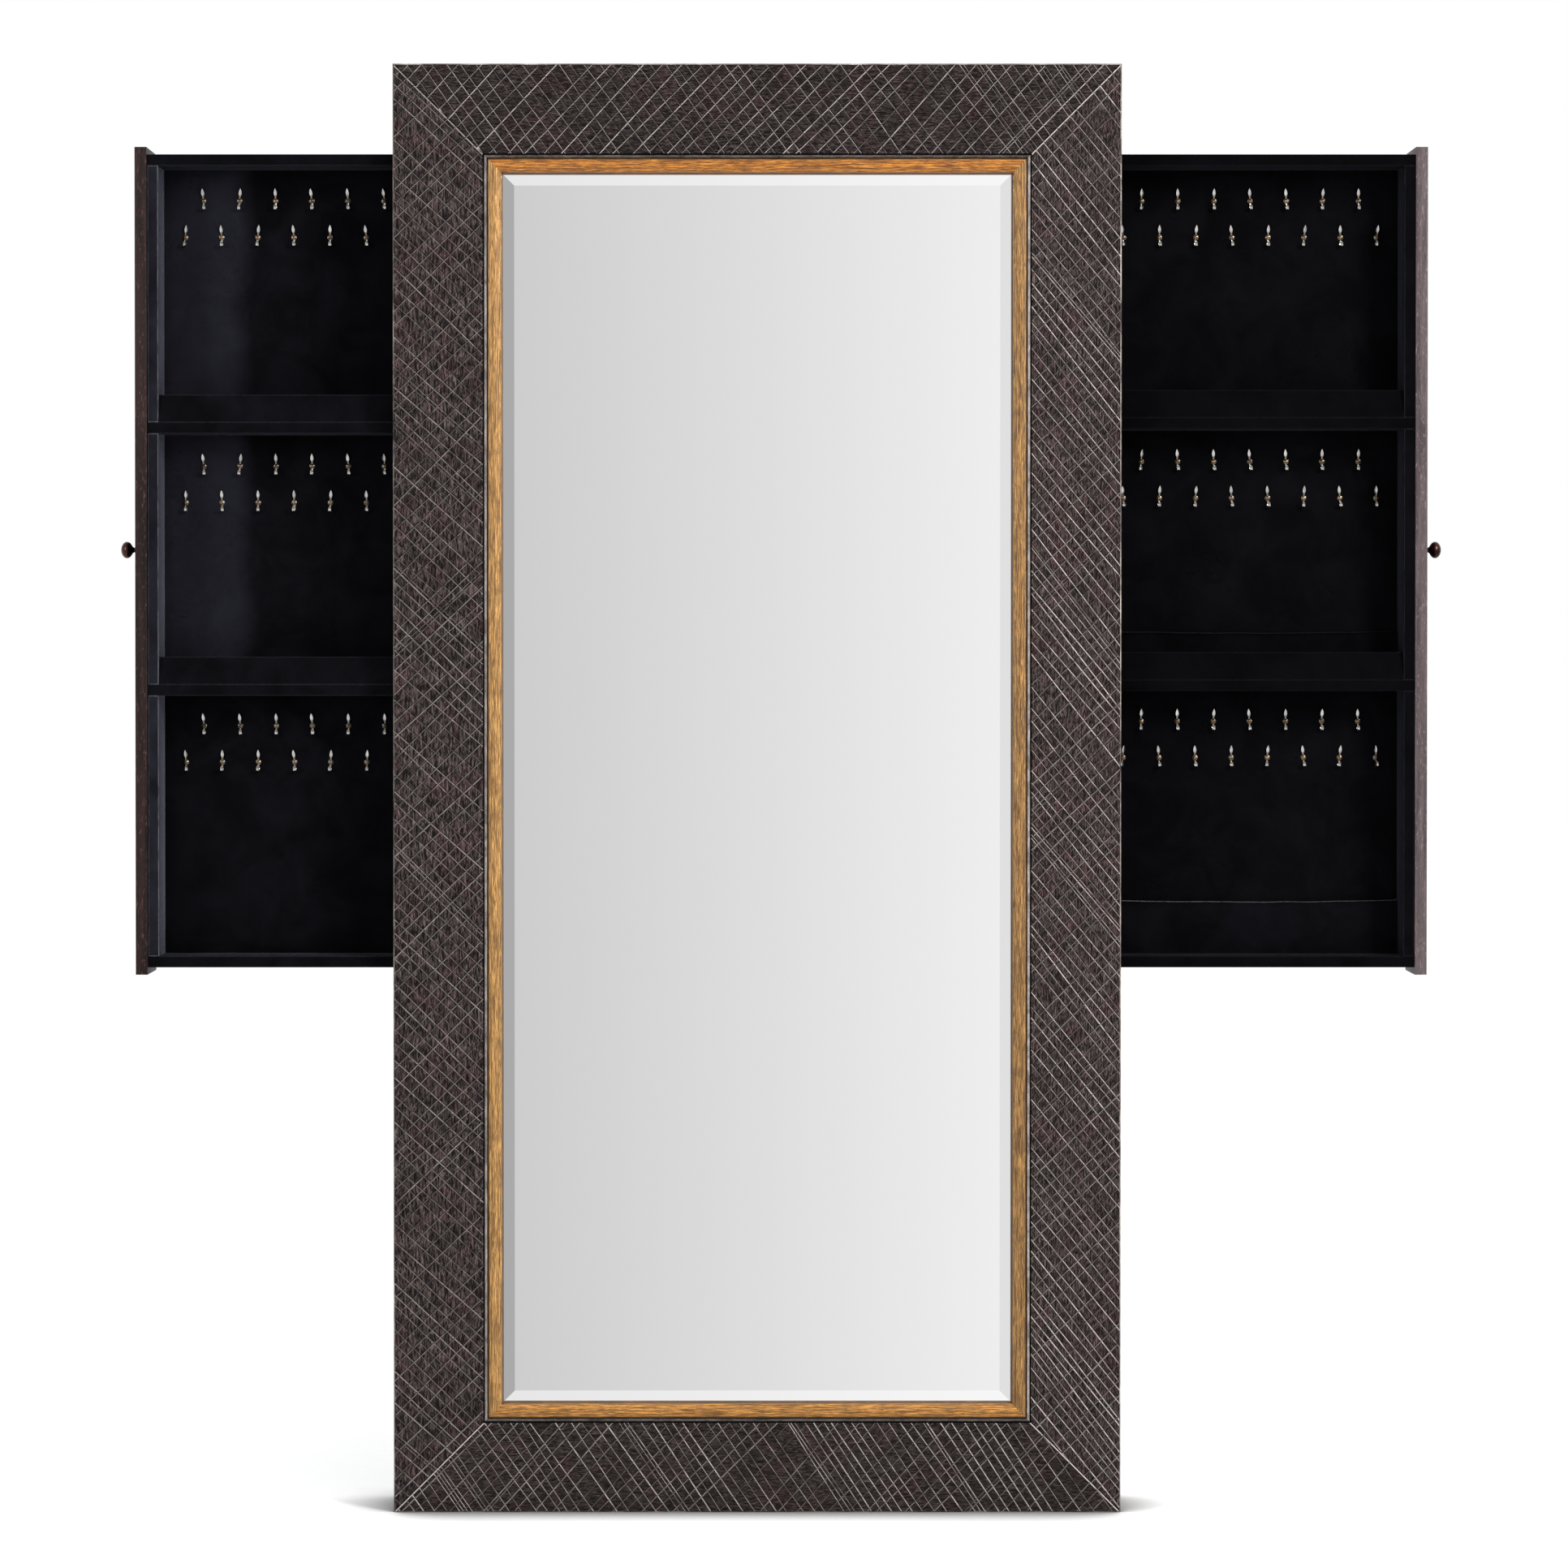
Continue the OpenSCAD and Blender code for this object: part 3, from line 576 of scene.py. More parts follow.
def add_floor():
    """The pale floor. The mirror and other shiny pieces don't see it."""
    p = Paint("pale_floor")
    pale = p.mix(p.noise((40, 40, 40), 3, 0.5), grey(0.93), grey(0.96))
    contact = p.tree.nodes.new("ShaderNodeAmbientOcclusion")
    p.put(contact.inputs["Distance"], 0.16)
    p.put(contact.inputs["Color"], pale)
    shadow = p.range(contact.outputs["AO"], 0.5, 0.94, 0.20, 1.0)
    p.set("Base Color", p.mix(shadow, grey(0.0), pale))
    p.set("Roughness", 0.9)
    bm = bmesh.new()
    bmesh.ops.create_grid(bm, x_segments=1, y_segments=1, size=30)
    mesh = bpy.data.meshes.new("floor")
    bm.to_mesh(mesh)
    bm.free()
    mesh.materials.append(p.material)
    floor = bpy.data.objects.new("floor", mesh)
    floor.visible_glossy = False
    bpy.context.scene.collection.objects.link(floor)


add_camera()
add_world()
add_floor()
add_light("key", (3.6, -4.4, 3.9), (0, 0, 1.1), (1.5, 2.6), 360, (1.0, 0.985, 0.965))
add_light("fill", (-4.2, -4.2, 3.0), (0, 0, 1.1), (0.9, 2.8), 120, (0.95, 0.97, 1.0))
bpy.context.scene.view_settings.view_transform = "Standard"


# ---------------------------------------------------------------- the frame's members

def frame_outline():
    """The frame's outer rectangle in millimetres: left x, bottom z, right x and top z."""
    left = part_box("frame_stile_left")[0]
    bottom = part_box("frame_rail_bottom")[0]
    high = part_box("frame_stile_right")[1]
    return left.x / MM, bottom.z / MM, high.x / MM, high.z / MM


def member_length(side, outline):
    x0, z0, x1, z1 = outline
    return (z1 - z0) if side in SIDES else (x1 - x0)


def member_point(side, outline, s, u, y):
    """A point in metres, from millimetres: s along the member, u in from the frame's outer edge, y deep."""
    x0, z0, x1, z1 = outline
    x, z = {
        "bottom": (x0 + s, z0 + u),
        "top": (x1 - s, z1 - u),
        "left": (x0 + u, z1 - s),
        "right": (x1 - u, z0 + s),
    }[side]
    return Vector((x, y, z)) * MM


def noise_at(a, b):
    return noise.noise(Vector((a, b * 0.37, 0.5)))


def limited(value):
    return min(1.0, max(0.0, value))


# ---------------------------------------------------------------- the carved mouldings

def grid_key(point):
    return round(point.x, 3), round(point.y, 3)


def area(polygon):
    """The area of a polygon of (point, tag)."""
    total = 0
    for i, (v, _) in enumerate(polygon):
        w = polygon[(i + 1) % len(polygon)][0]
        total += v.x * w.y - v.y * w.x
    return abs(total) / 2


def narrow(polygon):
    """About the polygon's least width: four times its area over its perimeter."""
    around = sum((polygon[i][0] - polygon[i - 1][0]).length for i in range(len(polygon)))
    return 4 * area(polygon) / around


def clipped(polygon, inward, offset, tag):
    """The part of a convex polygon past a line; the new edge takes the tag."""
    made = []
    for i, (v, edge) in enumerate(polygon):
        ahead = polygon[(i + 1) % len(polygon)][0]
        here, there = inward.dot(v) - offset, inward.dot(ahead) - offset
        if here >= 0:
            made.append((v, edge))
        if (here < 0) != (there < 0):
            crossing = v.lerp(ahead, here / (here - there))
            made.append((crossing, tag if here >= 0 else edge))
    return made


class Moulding:
    """One mitred member, carved. Its sizes are in millimetres, and y is the depth.

    The face is a flat field divided by cuts into cells. A cell is a convex polygon of (point, tag), where
    the tag names the line that the edge ahead of the point lies on.
    """

    ARRIS = 1.8  # chamfer at the outer edge, where the field starts
    FIELD_END = 135.5
    GAP_END = 137.2  # the gap's floor runs from the field's end to here
    BEAD_R = 2.4
    BEAD_SINK = 1.7  # of the bead's crest below the field
    BEAD_STEPS = 8
    RABBET_U = 120
    RABBET_Y = 22
    OUTER, INNER, START, END = range(4)  # tags of the field's own edges
    JOINT_HALF, JOINT_DEPTH = 1.7, 1.6
    STEEP_HALF = 0.9  # the most that a cut's steep wall is wide
    SMALLEST_CELL = 13.0
    NARROWEST_CELL = 1.9
    MEETING = 1.5  # paleness of the mitre joints
    STRONG_CUT, PLAIN_CUT, FAINT_CUT = (1.7, 1.7), (1.25, 1.2), (1.0, 0.9)  # half width and depth
    DOUBLED = 0.06  # share of cuts with a light second one close by
    DOUBLE_GAP = 6.4
    SECOND_CUT = (1.0, 1.0)

    def __init__(self, side, seed, families, bead_highlight):
        self.side = side
        self.bead_highlight = bead_highlight
        self.random = random.Random(seed)
        low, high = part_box("frame_stile_left")
        self.front = low.y / MM
        self.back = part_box("frame_stile_right")[1].y / MM
        self.width = (high.x - low.x) / MM
        self.outline = frame_outline()
        self.length = member_length(side, self.outline)
        # each line: normal (s, u), offset, half width of the pale wall, depth and paleness
        joint = (self.JOINT_HALF, self.JOINT_DEPTH, self.MEETING)
        self.lines = [
            (Vector((0, 1)), self.ARRIS, 0, 0, 0),
            (Vector((0, 1)), self.FIELD_END, 0, 0, 0),
            (Vector((1, -1)).normalized(), 0, *joint),
            (Vector((1, 1)).normalized(), self.length / math.sqrt(2), *joint),
        ]
        a, f, n = self.ARRIS, self.FIELD_END, self.length
        self.cells = [[
            (Vector((a, a)), self.OUTER), (Vector((n - a, a)), self.END),
            (Vector((n - f, f)), self.INNER), (Vector((f, f)), self.START),
        ]]
        for family in families:
            self.score(*family)

    def score(self, angle, pitch, spread, strong_share, faint_share, wash_and_highlight):
        """Cuts that run about one way. They bunch up and open out, and differ in strength and length."""
        r = self.random
        half = self.width / 2
        s, start = -half, r.uniform(0, 100)
        while s < self.length + half:
            slow = noise.noise(Vector((start + s * 0.0052, angle, 0)))
            s += pitch * (1 + spread * 2 * slow) * r.uniform(0.86, 1.14)
            turned = math.radians(angle + 3 * slow + r.uniform(-1.8, 1.8))
            kind = r.random()
            if kind < strong_share:
                cut = (*self.STRONG_CUT, 1.0)
                band = None
            elif kind < 1 - faint_share:
                cut = (*self.PLAIN_CUT, r.uniform(0.55, 0.95))
                band = None
            else:
                cut = (*self.FAINT_CUT, r.uniform(0.35, 0.6))
                band = r.choice([(0, r.uniform(0.4, 0.9)), (r.uniform(0.15, 0.6), 1), None])
            self.cut(Vector((s, half)), turned, (*cut[:2], cut[2] * wash_and_highlight), band)
            if r.random() < self.DOUBLED:
                beside = Vector((s + r.choice([-1, 1]) * self.DOUBLE_GAP, half))
                turned += r.uniform(-0.012, 0.012)
                self.cut(beside, turned, (*self.SECOND_CUT, r.uniform(0.5, 0.9) * wash_and_highlight), None)

    def cut(self, point, angle, cut, band):
        """Divides the cells along a line.

        cut is (half width, depth, paleness). band is the part of the member's width that is cut, or None
        for all of it.
        """
        normal = Vector((-math.sin(angle), math.cos(angle)))
        offset = normal.dot(point)
        tag = len(self.lines)
        self.lines.append((normal, offset, *cut))
        cells = []
        for cell in self.cells:
            centre = sum((v.y for v, _ in cell)) / len(cell) / self.FIELD_END
            parts = None
            if band is None or band[0] <= centre <= band[1]:
                parts = self.split(cell, normal, offset, tag)
            cells += parts or [cell]
        self.cells = cells

    def split(self, cell, normal, offset, tag):
        """The two parts of a cell on either side of a line, or nothing when one would be too small."""
        distance = [normal.dot(v) - offset for v, _ in cell]
        if min(distance) > -1e-6 or max(distance) < 1e-6:
            return None
        parts = []
        for sign in (1, -1):
            part = []
            for i, (v, edge) in enumerate(cell):
                j = (i + 1) % len(cell)
                here, there = sign * distance[i], sign * distance[j]
                if here >= 0:
                    part.append((v, edge))
                if (here < 0) != (there < 0):
                    t = distance[i] / (distance[i] - distance[j])
                    crossing = v.lerp(cell[j][0], t)
                    part.append((crossing, tag if here >= 0 else edge))
            if len(part) < 3 or area(part) < self.SMALLEST_CELL or narrow(part) < self.NARROWEST_CELL:
                return None
            parts.append(part)
        return parts

    def build(self):
        """The closed solid: relief cells, chamfered outer arris, bead, rabbet and back."""
        bm = bmesh.new()
        pale = bm.faces.layers.float.new("pale")
        tone = bm.faces.layers.float.new("tone")
        verts = {}

        def vert(s, u, y):
            key = (round(s, 3), round(u, 3), round(y, 3))
            if key not in verts:
                verts[key] = bm.verts.new(member_point(self.side, self.outline, s, u, y))
            return verts[key]

        def face(corners, paleness=0.0, lightness=0.5):
            unique = list(dict.fromkeys(corners))
            if len(unique) < 3:
                return
            made = bm.faces.new(unique)
            made[pale] = paleness
            made[tone] = lightness

        depth_at, on_line = {}, {}
        for cell in self.cells:
            for i, (v, tag) in enumerate(cell):
                before = cell[i - 1][1]
                key = grid_key(v)
                deep = max(self.lines[tag][3], self.lines[before][3])
                depth_at[key] = max(depth_at.get(key, 0), deep)
                for t in (tag, before):
                    n = self.lines[t][0]
                    on_line.setdefault(t, {})[key] = v.x * n.y - v.y * n.x
        ordered = {t: sorted((along, key) for key, along in keys.items()) for t, keys in on_line.items()}

        def low_vert(key):
            return vert(key[0], key[1], self.front + depth_at[key])

        edge_points = {self.OUTER: {}, self.INNER: {}, self.START: {}, self.END: {}}
        for cell in self.cells:
            self.relief(cell, vert, low_vert, face, ordered, edge_points)
        self.profile(vert, face, edge_points)
        bmesh.ops.recalc_face_normals(bm, faces=bm.faces)
        return bm

    def relief(self, cell, vert, low_vert, face, ordered, edge_points):
        """One cell: its raised, slightly tilted top and the walls down into the cuts round it."""
        r = self.random
        centre = sum((v for v, _ in cell), Vector((0, 0))) / len(cell)
        lift = r.uniform(-0.10, 0.14)
        tilt = Vector((r.uniform(-1, 1), r.uniform(-1, 1))) * 0.007
        lightness = limited(r.gauss(0.5, 0.16))
        n = len(cell)
        keys = [grid_key(v) for v, _ in cell]
        inset = [(v, i) for i, (v, _) in enumerate(cell)]
        paleness = []
        for i, (v, tag) in enumerate(cell):
            run = (cell[(i + 1) % n][0] - v).normalized()
            inward = Vector((-run.y, run.x))
            half, pale = self.wall(tag, inward)
            paleness.append(pale)
            if half > 0:
                inset = clipped(inset, inward, inward.dot(v) + half, i)

        def bottom_run(i):
            """The low points of an edge: its two ends and any corners of the neighbours between them."""
            a, b = keys[i], keys[(i + 1) % n]
            tag = cell[i][1]
            normal = self.lines[tag][0]
            low, high = (k[0] * normal.y - k[1] * normal.x for k in (a, b))
            line = ordered[tag]
            first = bisect.bisect_right(line, (min(low, high) + 2e-3, (1e9, 1e9)))
            last = bisect.bisect_left(line, (max(low, high) - 2e-3, (-1e9, -1e9)))
            between = [k for _, k in line[first:last]]
            if low > high:
                between.reverse()
            run = [a, *between, b]
            corners = [low_vert(k) for k in run]
            if tag in edge_points:
                edge_points[tag].update(zip(run, corners))
            return corners

        if len(inset) < 3 or area(inset) < 0.3:
            peak = vert(centre.x, centre.y, self.front + 0.5)
            for i in range(n):
                face([*bottom_run(i), peak], paleness[i], lightness)
            return
        tops = [vert(v.x, v.y, self.front - lift - (v - centre).dot(tilt)) for v, _ in inset]
        face(tops, 0.0, lightness)
        for k, (v, i) in enumerate(inset):
            after, following = inset[(k + 1) % len(inset)]
            top, next_top = tops[k], tops[(k + 1) % len(inset)]
            tag = cell[i][1]
            corners = bottom_run(i)
            if tag in (self.OUTER, self.INNER):
                edge_points[tag][grid_key(v)] = top
                edge_points[tag][grid_key(after)] = next_top
            else:
                face([*corners, next_top, top], paleness[i], 0.15 if paleness[i] == 0 else lightness)
            missing = (i + 1) % n
            while missing != following:
                face([*bottom_run(missing), next_top], paleness[missing], lightness)
                missing = (missing + 1) % n

    def wall(self, tag, inward):
        """Half width and paleness of a cut's wall. One that faces the light, up to the right, is shallow and
        painted as a highlight.
        """
        _, _, half, depth, paleness = self.lines[tag]
        if depth == 0:
            return 0, 0
        down = -inward
        x, z = {
            "bottom": (down.x, down.y), "top": (-down.x, -down.y),
            "left": (down.y, -down.x), "right": (-down.y, down.x),
        }[self.side]
        if x * 0.62 + z * 0.78 > 0:
            return half, paleness
        # a wall that faces away from the light is steep and gets painted shade
        steep = self.JOINT_HALF if tag in (self.START, self.END) else self.STEEP_HALF
        return min(half, steep), -min(1.0, 0.5 + 0.5 * paleness)

    def profile(self, vert, face, edge_points):
        """Everything round the field: outer arris, gap, bead, rabbet, back and the two mitred ends."""
        n = self.length
        foot = self.outer_arris(vert, face, sorted(edge_points[self.OUTER].items()))
        ledge = self.gap_wall(vert, face, sorted(edge_points[self.INNER].items()))
        rows = self.bead(vert, face, ledge)
        behind = [
            (self.width, self.front + self.RABBET_Y), (self.RABBET_U, self.front + self.RABBET_Y),
            (self.RABBET_U, self.back), (0, self.back),
        ]
        pairs = [(vert(u, u, y), vert(n - u, u, y)) for u, y in behind]
        face([*rows[-1], pairs[0][1], pairs[0][0]], 0.0, 0.3)
        for a, b in zip(pairs, pairs[1:]):
            face([a[0], a[1], b[1], b[0]], 0.0, 0.4)
        face([pairs[-1][0], pairs[-1][1], *reversed(foot)], 0.05, 0.5)
        for tag, pick in ((self.START, 0), (self.END, -1)):
            joint = sorted(((key[1], v) for key, v in edge_points[tag].items()), key=lambda item: item[0])
            rest = [row[pick] for row in rows] + [pair[pick] for pair in pairs]
            face([foot[pick], *(v for _, v in joint), ledge[pick], *rest], 0.0, 0.4)

    def outer_arris(self, vert, face, outer):
        """The chamfer at the outer edge, with an uneven painted highlight along it. Returns the points along
        its foot.
        """
        foot = []
        for (s, _), _ in outer:
            at = 0 if s == outer[0][0][0] else self.length if s == outer[-1][0][0] else s
            foot.append(vert(at, 0, self.front + self.ARRIS))
        for i in range(len(outer) - 1):
            # rubbed here is a painted highlight along the chamfer, broken up unevenly
            rubbed = 0.45 + 0.6 * noise_at(outer[i][0][0] * 0.021, self.length)
            face([outer[i][1], outer[i + 1][1], foot[i + 1], foot[i]], max(0.0, rubbed), 0.6)
        return foot

    def gap_wall(self, vert, face, inner):
        """The drop from the field to the bead's foot, painted in shade. Returns the points along its lower
        edge.
        """
        gap_y = self.front + self.BEAD_SINK + self.BEAD_R
        ledge = [vert(s, self.FIELD_END, gap_y) for (s, _), _ in inner]
        for i in range(len(inner) - 1):
            face([inner[i][1], inner[i + 1][1], ledge[i + 1], ledge[i]], -0.7, 0.1)
        return ledge

    def bead(self, vert, face, ledge):
        """The gap's floor in painted shade, and the round bead along the glass side with a painted highlight
        on its crest. Returns the bead's rows of points.
        """
        gap_y = self.front + self.BEAD_SINK + self.BEAD_R
        middle = self.width - self.BEAD_R
        section = [(self.GAP_END, gap_y)]
        for k in range(1, self.BEAD_STEPS + 1):
            a = math.pi * k / self.BEAD_STEPS
            section.append((middle - self.BEAD_R * math.cos(a), gap_y - self.BEAD_R * math.sin(a)))
        parts = int(self.length / 22)
        rows = []
        for k, (u, y) in enumerate(section):
            row = []
            for j in range(parts + 1):
                s = u + (self.length - 2 * u) * j / parts
                wobble = 0
                if 0 < k < self.BEAD_STEPS and 0 < j < parts:
                    wobble = 0.22 * noise_at(s * 0.03, u + self.length)
                row.append(vert(s, u, y + wobble))
            rows.append(row)
        # painted shade on the gap's floor
        face([*ledge, *reversed(rows[0])], -1.0, 0.05)
        for k, (a, b) in enumerate(zip(rows, rows[1:])):
            # painted highlight on the bead's crest, strongest at its top
            shine = limited(1.6 - abs(k + 0.5 - self.BEAD_STEPS / 2) / (self.BEAD_STEPS / 2) * 2)
            for j in range(parts):
                face([a[j], a[j + 1], b[j + 1], b[j]], self.bead_highlight * shine, 0.5)
        return rows


# each family of cuts: angle to the member's length, spacing along it, how far the spacing drifts, share of
# strong cuts, share of faint ones, and how much of the pale limed colour and painted highlight the cuts keep
LEFT_CUTS = [(47, 22, 0.28, 0.14, 0.22, 0.95), (-46, 25, 0.28, 0.10, 0.25, 1.0)]
RIGHT_CUTS = [(39, 22, 0.28, 0.18, 0.15, 1.0), (-46, 24, 0.28, 0.10, 0.25, 0.42)]
TOP_CUTS = [(-54, 20, 0.22, 0.14, 0.4, 0.6), (46, 27, 0.12, 0.3, 0.15, 1.0)]
BOTTOM_CUTS = [(-56, 18, 0.26, 0.25, 0.25, 1.0), (46, 25, 0.16, 0.1, 0.3, 0.5)]

for side, member, seed, cuts, bead_highlight in (
    ("left", "stile_left", 11, LEFT_CUTS, 0.9),
    ("right", "stile_right", 23, RIGHT_CUTS, 0.6),
    ("top", "rail_top", 37, TOP_CUTS, 0.15),
    ("bottom", "rail_bottom", 41, BOTTOM_CUTS, 0.15),
):
    carved = Moulding(side, seed, cuts, bead_highlight).build()
    node = "frame_" + member
    piece(node + "_carved", carved, member, "mirror_case", (node,))


# ---------------------------------------------------------------- the gold liner

def liner_profile(width, front, back, glass):
    """(u from the moulding's inner edge, y, across, scribe) round the liner's section, in millimetres.

    The face swells to a crest and falls away to both edges, with a scribed line near each.
    """
    crest, outer_drop, inner_drop = 0.42, 3.2, 9.0
    scribes, scribe_half, scribe_depth = (0.26, 0.72), 0.04, 0.5
    tongue, tongue_y, lip = 10, -63, 8  # under the moulding, and over the glass
    points = [(-tongue, back, 0, 0), (-tongue, tongue_y, 0, 0), (0, tongue_y, 0, 0)]
    steps = 30
    for i in range(steps + 1):
        t = i / steps
        side = (crest - t) / crest if t < crest else (t - crest) / (1 - crest)
        drop = outer_drop if t < crest else inner_drop
        groove = max(0.0, 1 - min(abs(t - s) for s in scribes) / scribe_half)
        y = front - 0.8 + drop * (1 - math.sqrt(max(0.0, 1 - side ** 2.4))) + scribe_depth * groove
        points.append((width * t, y, t, min(1.0, groove)))
    points += [(width, glass, 1, 0), (width - lip, glass, 1, 0), (width - lip, back, 1, 0)]
    return points


def gilded_liner(side):
    """One mitred length of the liner.

    Its points carry across, which runs from 0 at the outer edge to 1 at the glass, and scribe.
    """
    outline = frame_outline()
    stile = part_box("frame_stile_left")
    outer = (stile[1].x - stile[0].x) / MM
    low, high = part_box("liner_left")
    width = high.x / MM - outline[0] - outer
    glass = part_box("mirror_glass")[0].y / MM
    length = member_length(side, outline)
    bm = bmesh.new()
    across = bm.verts.layers.float.new("across")
    scribe = bm.verts.layers.float.new("scribe")
    parts = int(length / 7)
    rows = []
    for u_in, y, a, g in liner_profile(width, low.y / MM, high.y / MM, glass):
        row = []
        u = outer + u_in
        for j in range(parts + 1):
            s = u + (length - 2 * u) * j / parts
            dent = 0.0
            if 0.05 < a < 0.95:
                dent = 0.28 * noise_at(s * 0.035, u * 0.2 + length) + 0.12 * noise_at(s * 0.21, u * 0.5)
            v = bm.verts.new(member_point(side, outline, s, u, y + dent))
            v[across] = a
            v[scribe] = g
            row.append(v)
        rows.append(row)
    for k, row in enumerate(rows):
        after = rows[(k + 1) % len(rows)]
        for j in range(parts):
            bm.faces.new((row[j], row[j + 1], after[j + 1], after[j]))
    for j in (0, parts):
        bm.faces.new([row[j] for row in rows])
    bmesh.ops.recalc_face_normals(bm, faces=bm.faces)
    node = "liner_" + side
    piece(node + "_gilded", bm, "gilt_" + side, "mirror_case", (node,), smooth=40)


for side in ("left", "right", "top", "bottom"):
    gilded_liner(side)

repaint("mirror_glass", "mirror")
repaint("mirror_backing", "hardboard")
for node in ("retainer_clips", "wood_screws", "wall_anchor_plates", "slide_outer_rails"):
    repaint(node, "steel")


# ---------------------------------------------------------------- the case

LEVEL_BOARDS = ("case_top", "case_bottom", "case_divider_lower", "case_divider_upper")
UPRIGHT_BOARDS = (
    "case_side_left_lower", "case_side_right_lower",
    "case_side_left_upper", "case_side_right_upper", "centre_post",
)
for boards, look in ((LEVEL_BOARDS, "case_level"), (UPRIGHT_BOARDS, "case")):
    for node in boards:
        softened(node + "_board", node, look, "mirror_case", 0.8 * MM)
repaint("back_panel", "back")


# ---------------------------------------------------------------- the trays

PAD_STEP = 7 * MM
PAD_RIM = 12 * MM  # how far in from its edge a pad is rounded off
PAD_RIM_DROP = 1.6 * MM
PAD_SWELL, PAD_UNEVEN = 0.9 * MM, 0.35 * MM
HOOK_HOLD = 15 * MM  # round a hook the pad is held down about this far


def pad_face(x, z, low, high, held):
    """The depth of a pad's face, which swells between the hooks that hold it down."""
    rim = min(x - low.x, high.x - x, z - low.z, high.z - z) / PAD_RIM
    edge = min(1.0, rim) ** 0.5
    free = 1.0
    for s in held:
        d2 = (x - s.x) ** 2 + (z - s.z) ** 2
        free = min(free, 1 - math.exp(-d2 / HOOK_HOLD ** 2))
    swell = PAD_SWELL * free + PAD_UNEVEN * noise.noise(Vector((x * 13, 0, z * 22)))
    return low.y + PAD_RIM_DROP * (1 - edge) - swell * edge * free


def painted_light_share(x, z, low, high):
    """1 in the left third of a pad, where a pool of light is painted, and 0 past it."""
    share = (x - low.x) / (high.x - low.x) + 0.04 * noise.noise(Vector((x * 6, 1, z * 9)))
    return limited((0.30 - share) / 0.07)


def lining_pads(side):
    """Padded velvet on the backboard, one pad in each compartment."""
    name = side + "_lining"
    screws = [((a + b) / 2) for a, b in islands(side + "_hook_screws")]
    bm = bmesh.new()
    brushed = bm.verts.layers.float.new("brushed")
    pads = sorted(islands(name), key=lambda pair: pair[0].z)
    for level, (low, high) in enumerate(pads):
        held = [s for s in screws if low.z < s.z < high.z]
        nx = round((high.x - low.x) / PAD_STEP)
        nz = round((high.z - low.z) / PAD_STEP)
        front, back = [], []
        for j in range(nz + 1):
            z = low.z + (high.z - low.z) * j / nz
            front_row, back_row = [], []
            for i in range(nx + 1):
                x = low.x + (high.x - low.x) * i / nx
                made = bm.verts.new((x, pad_face(x, z, low, high, held), z))
                # the upper pads in the left tray get a painted pool of light on their left third
                if side == "left" and level > 0:
                    made[brushed] = painted_light_share(x, z, low, high)
                front_row.append(made)
                on_rim = i in (0, nx) or j in (0, nz)
                back_row.append(bm.verts.new((x, high.y, z)) if on_rim else None)
            front.append(front_row)
            back.append(back_row)
        for j in range(nz):
            for i in range(nx):
                bm.faces.new((front[j][i], front[j][i + 1], front[j + 1][i + 1], front[j + 1][i]))
        around = [(0, i) for i in range(nx)] + [(j, nx) for j in range(nz)]
        around += [(nz, i) for i in range(nx, 0, -1)] + [(j, 0) for j in range(nz, 0, -1)]
        for (j, i), (j2, i2) in zip(around, around[1:] + around[:1]):
            bm.faces.new((front[j][i], back[j][i], back[j2][i2], front[j2][i2]))
        bm.faces.new([back[j][i] for j, i in around])
    bmesh.ops.recalc_face_normals(bm, faces=bm.faces)
    made = piece(name + "_padded", bm, "lining_" + side, side + "_drawer", (name,), smooth=60)


def swept(bm, path, sections):
    """A bar along a path, thinner down its middle than along its edges.

    sections gives (half width, half thickness) at each point.
    """
    sides = 12
    wide = Vector((1, 0, 0))
    rings = []
    for i, (point, (w, t)) in enumerate(zip(path, sections)):
        ahead = path[min(i + 1, len(path) - 1)] - path[max(i - 1, 0)]
        ahead.normalize()
        thick = ahead.cross(wide).normalized()
        ring = []
        for k in range(sides):
            a = 2 * math.pi * k / sides
            swell = 0.3 + 1.25 * math.cos(a) ** 2
            ring.append(bm.verts.new(point + wide * w * math.cos(a) + thick * t * math.sin(a) * swell))
        rings.append(ring)
    for a, b in zip(rings, rings[1:]):
        for k in range(sides):
            bm.faces.new((a[k], a[(k + 1) % sides], b[(k + 1) % sides], b[k]))
    bm.faces.new(list(reversed(rings[0])))
    bm.faces.new(rings[-1])


OUT_OF_THE_BOARD = Matrix.Rotation(math.pi / 2, 4, "X")
STEM_Y = -1.3  # the hook's stem stands this far off the board, in millimetres
LEAF_FOOT, LEAF_RISE, LEAF_LEAN = 2.6, 16.3, 5.6
# (height, half width, half thickness) up the leaf
LEAF = [
    (2.6, 1.4, 1.2), (5.0, 1.2, 1.2), (7.0, 1.4, 1.1), (8.5, 1.9, 1.1), (10.2, 2.4, 1.1), (12.2, 2.6, 1.05),
    (14.2, 2.3, 1.0), (16.0, 1.7, 0.9), (17.4, 1.0, 0.7), (18.4, 0.5, 0.45), (18.9, 0.15, 0.15),
]
# (height, half width, half thickness) down the stem to where the prong turns out
STEM = [(-2.4, 1.2, 1.1), (-4.4, 1.2, 1.1), (-6.4, 1.4, 1.1), (-8.2, 1.8, 1.15)]
PRONG_RADIUS, PRONG_TURN_Z, PRONG_STEPS = 4.7, -9.4, 9
# (rise, half width) at the prong's tip
TIP = [(1.2, 2.3), (2.4, 1.9), (3.3, 1.2), (3.7, 0.4)]
BOSS = [(0, 0), (4.1, 0), (4.3, 0.6), (3.9, 1.2), (3.5, 1.3), (0, 1.3)]


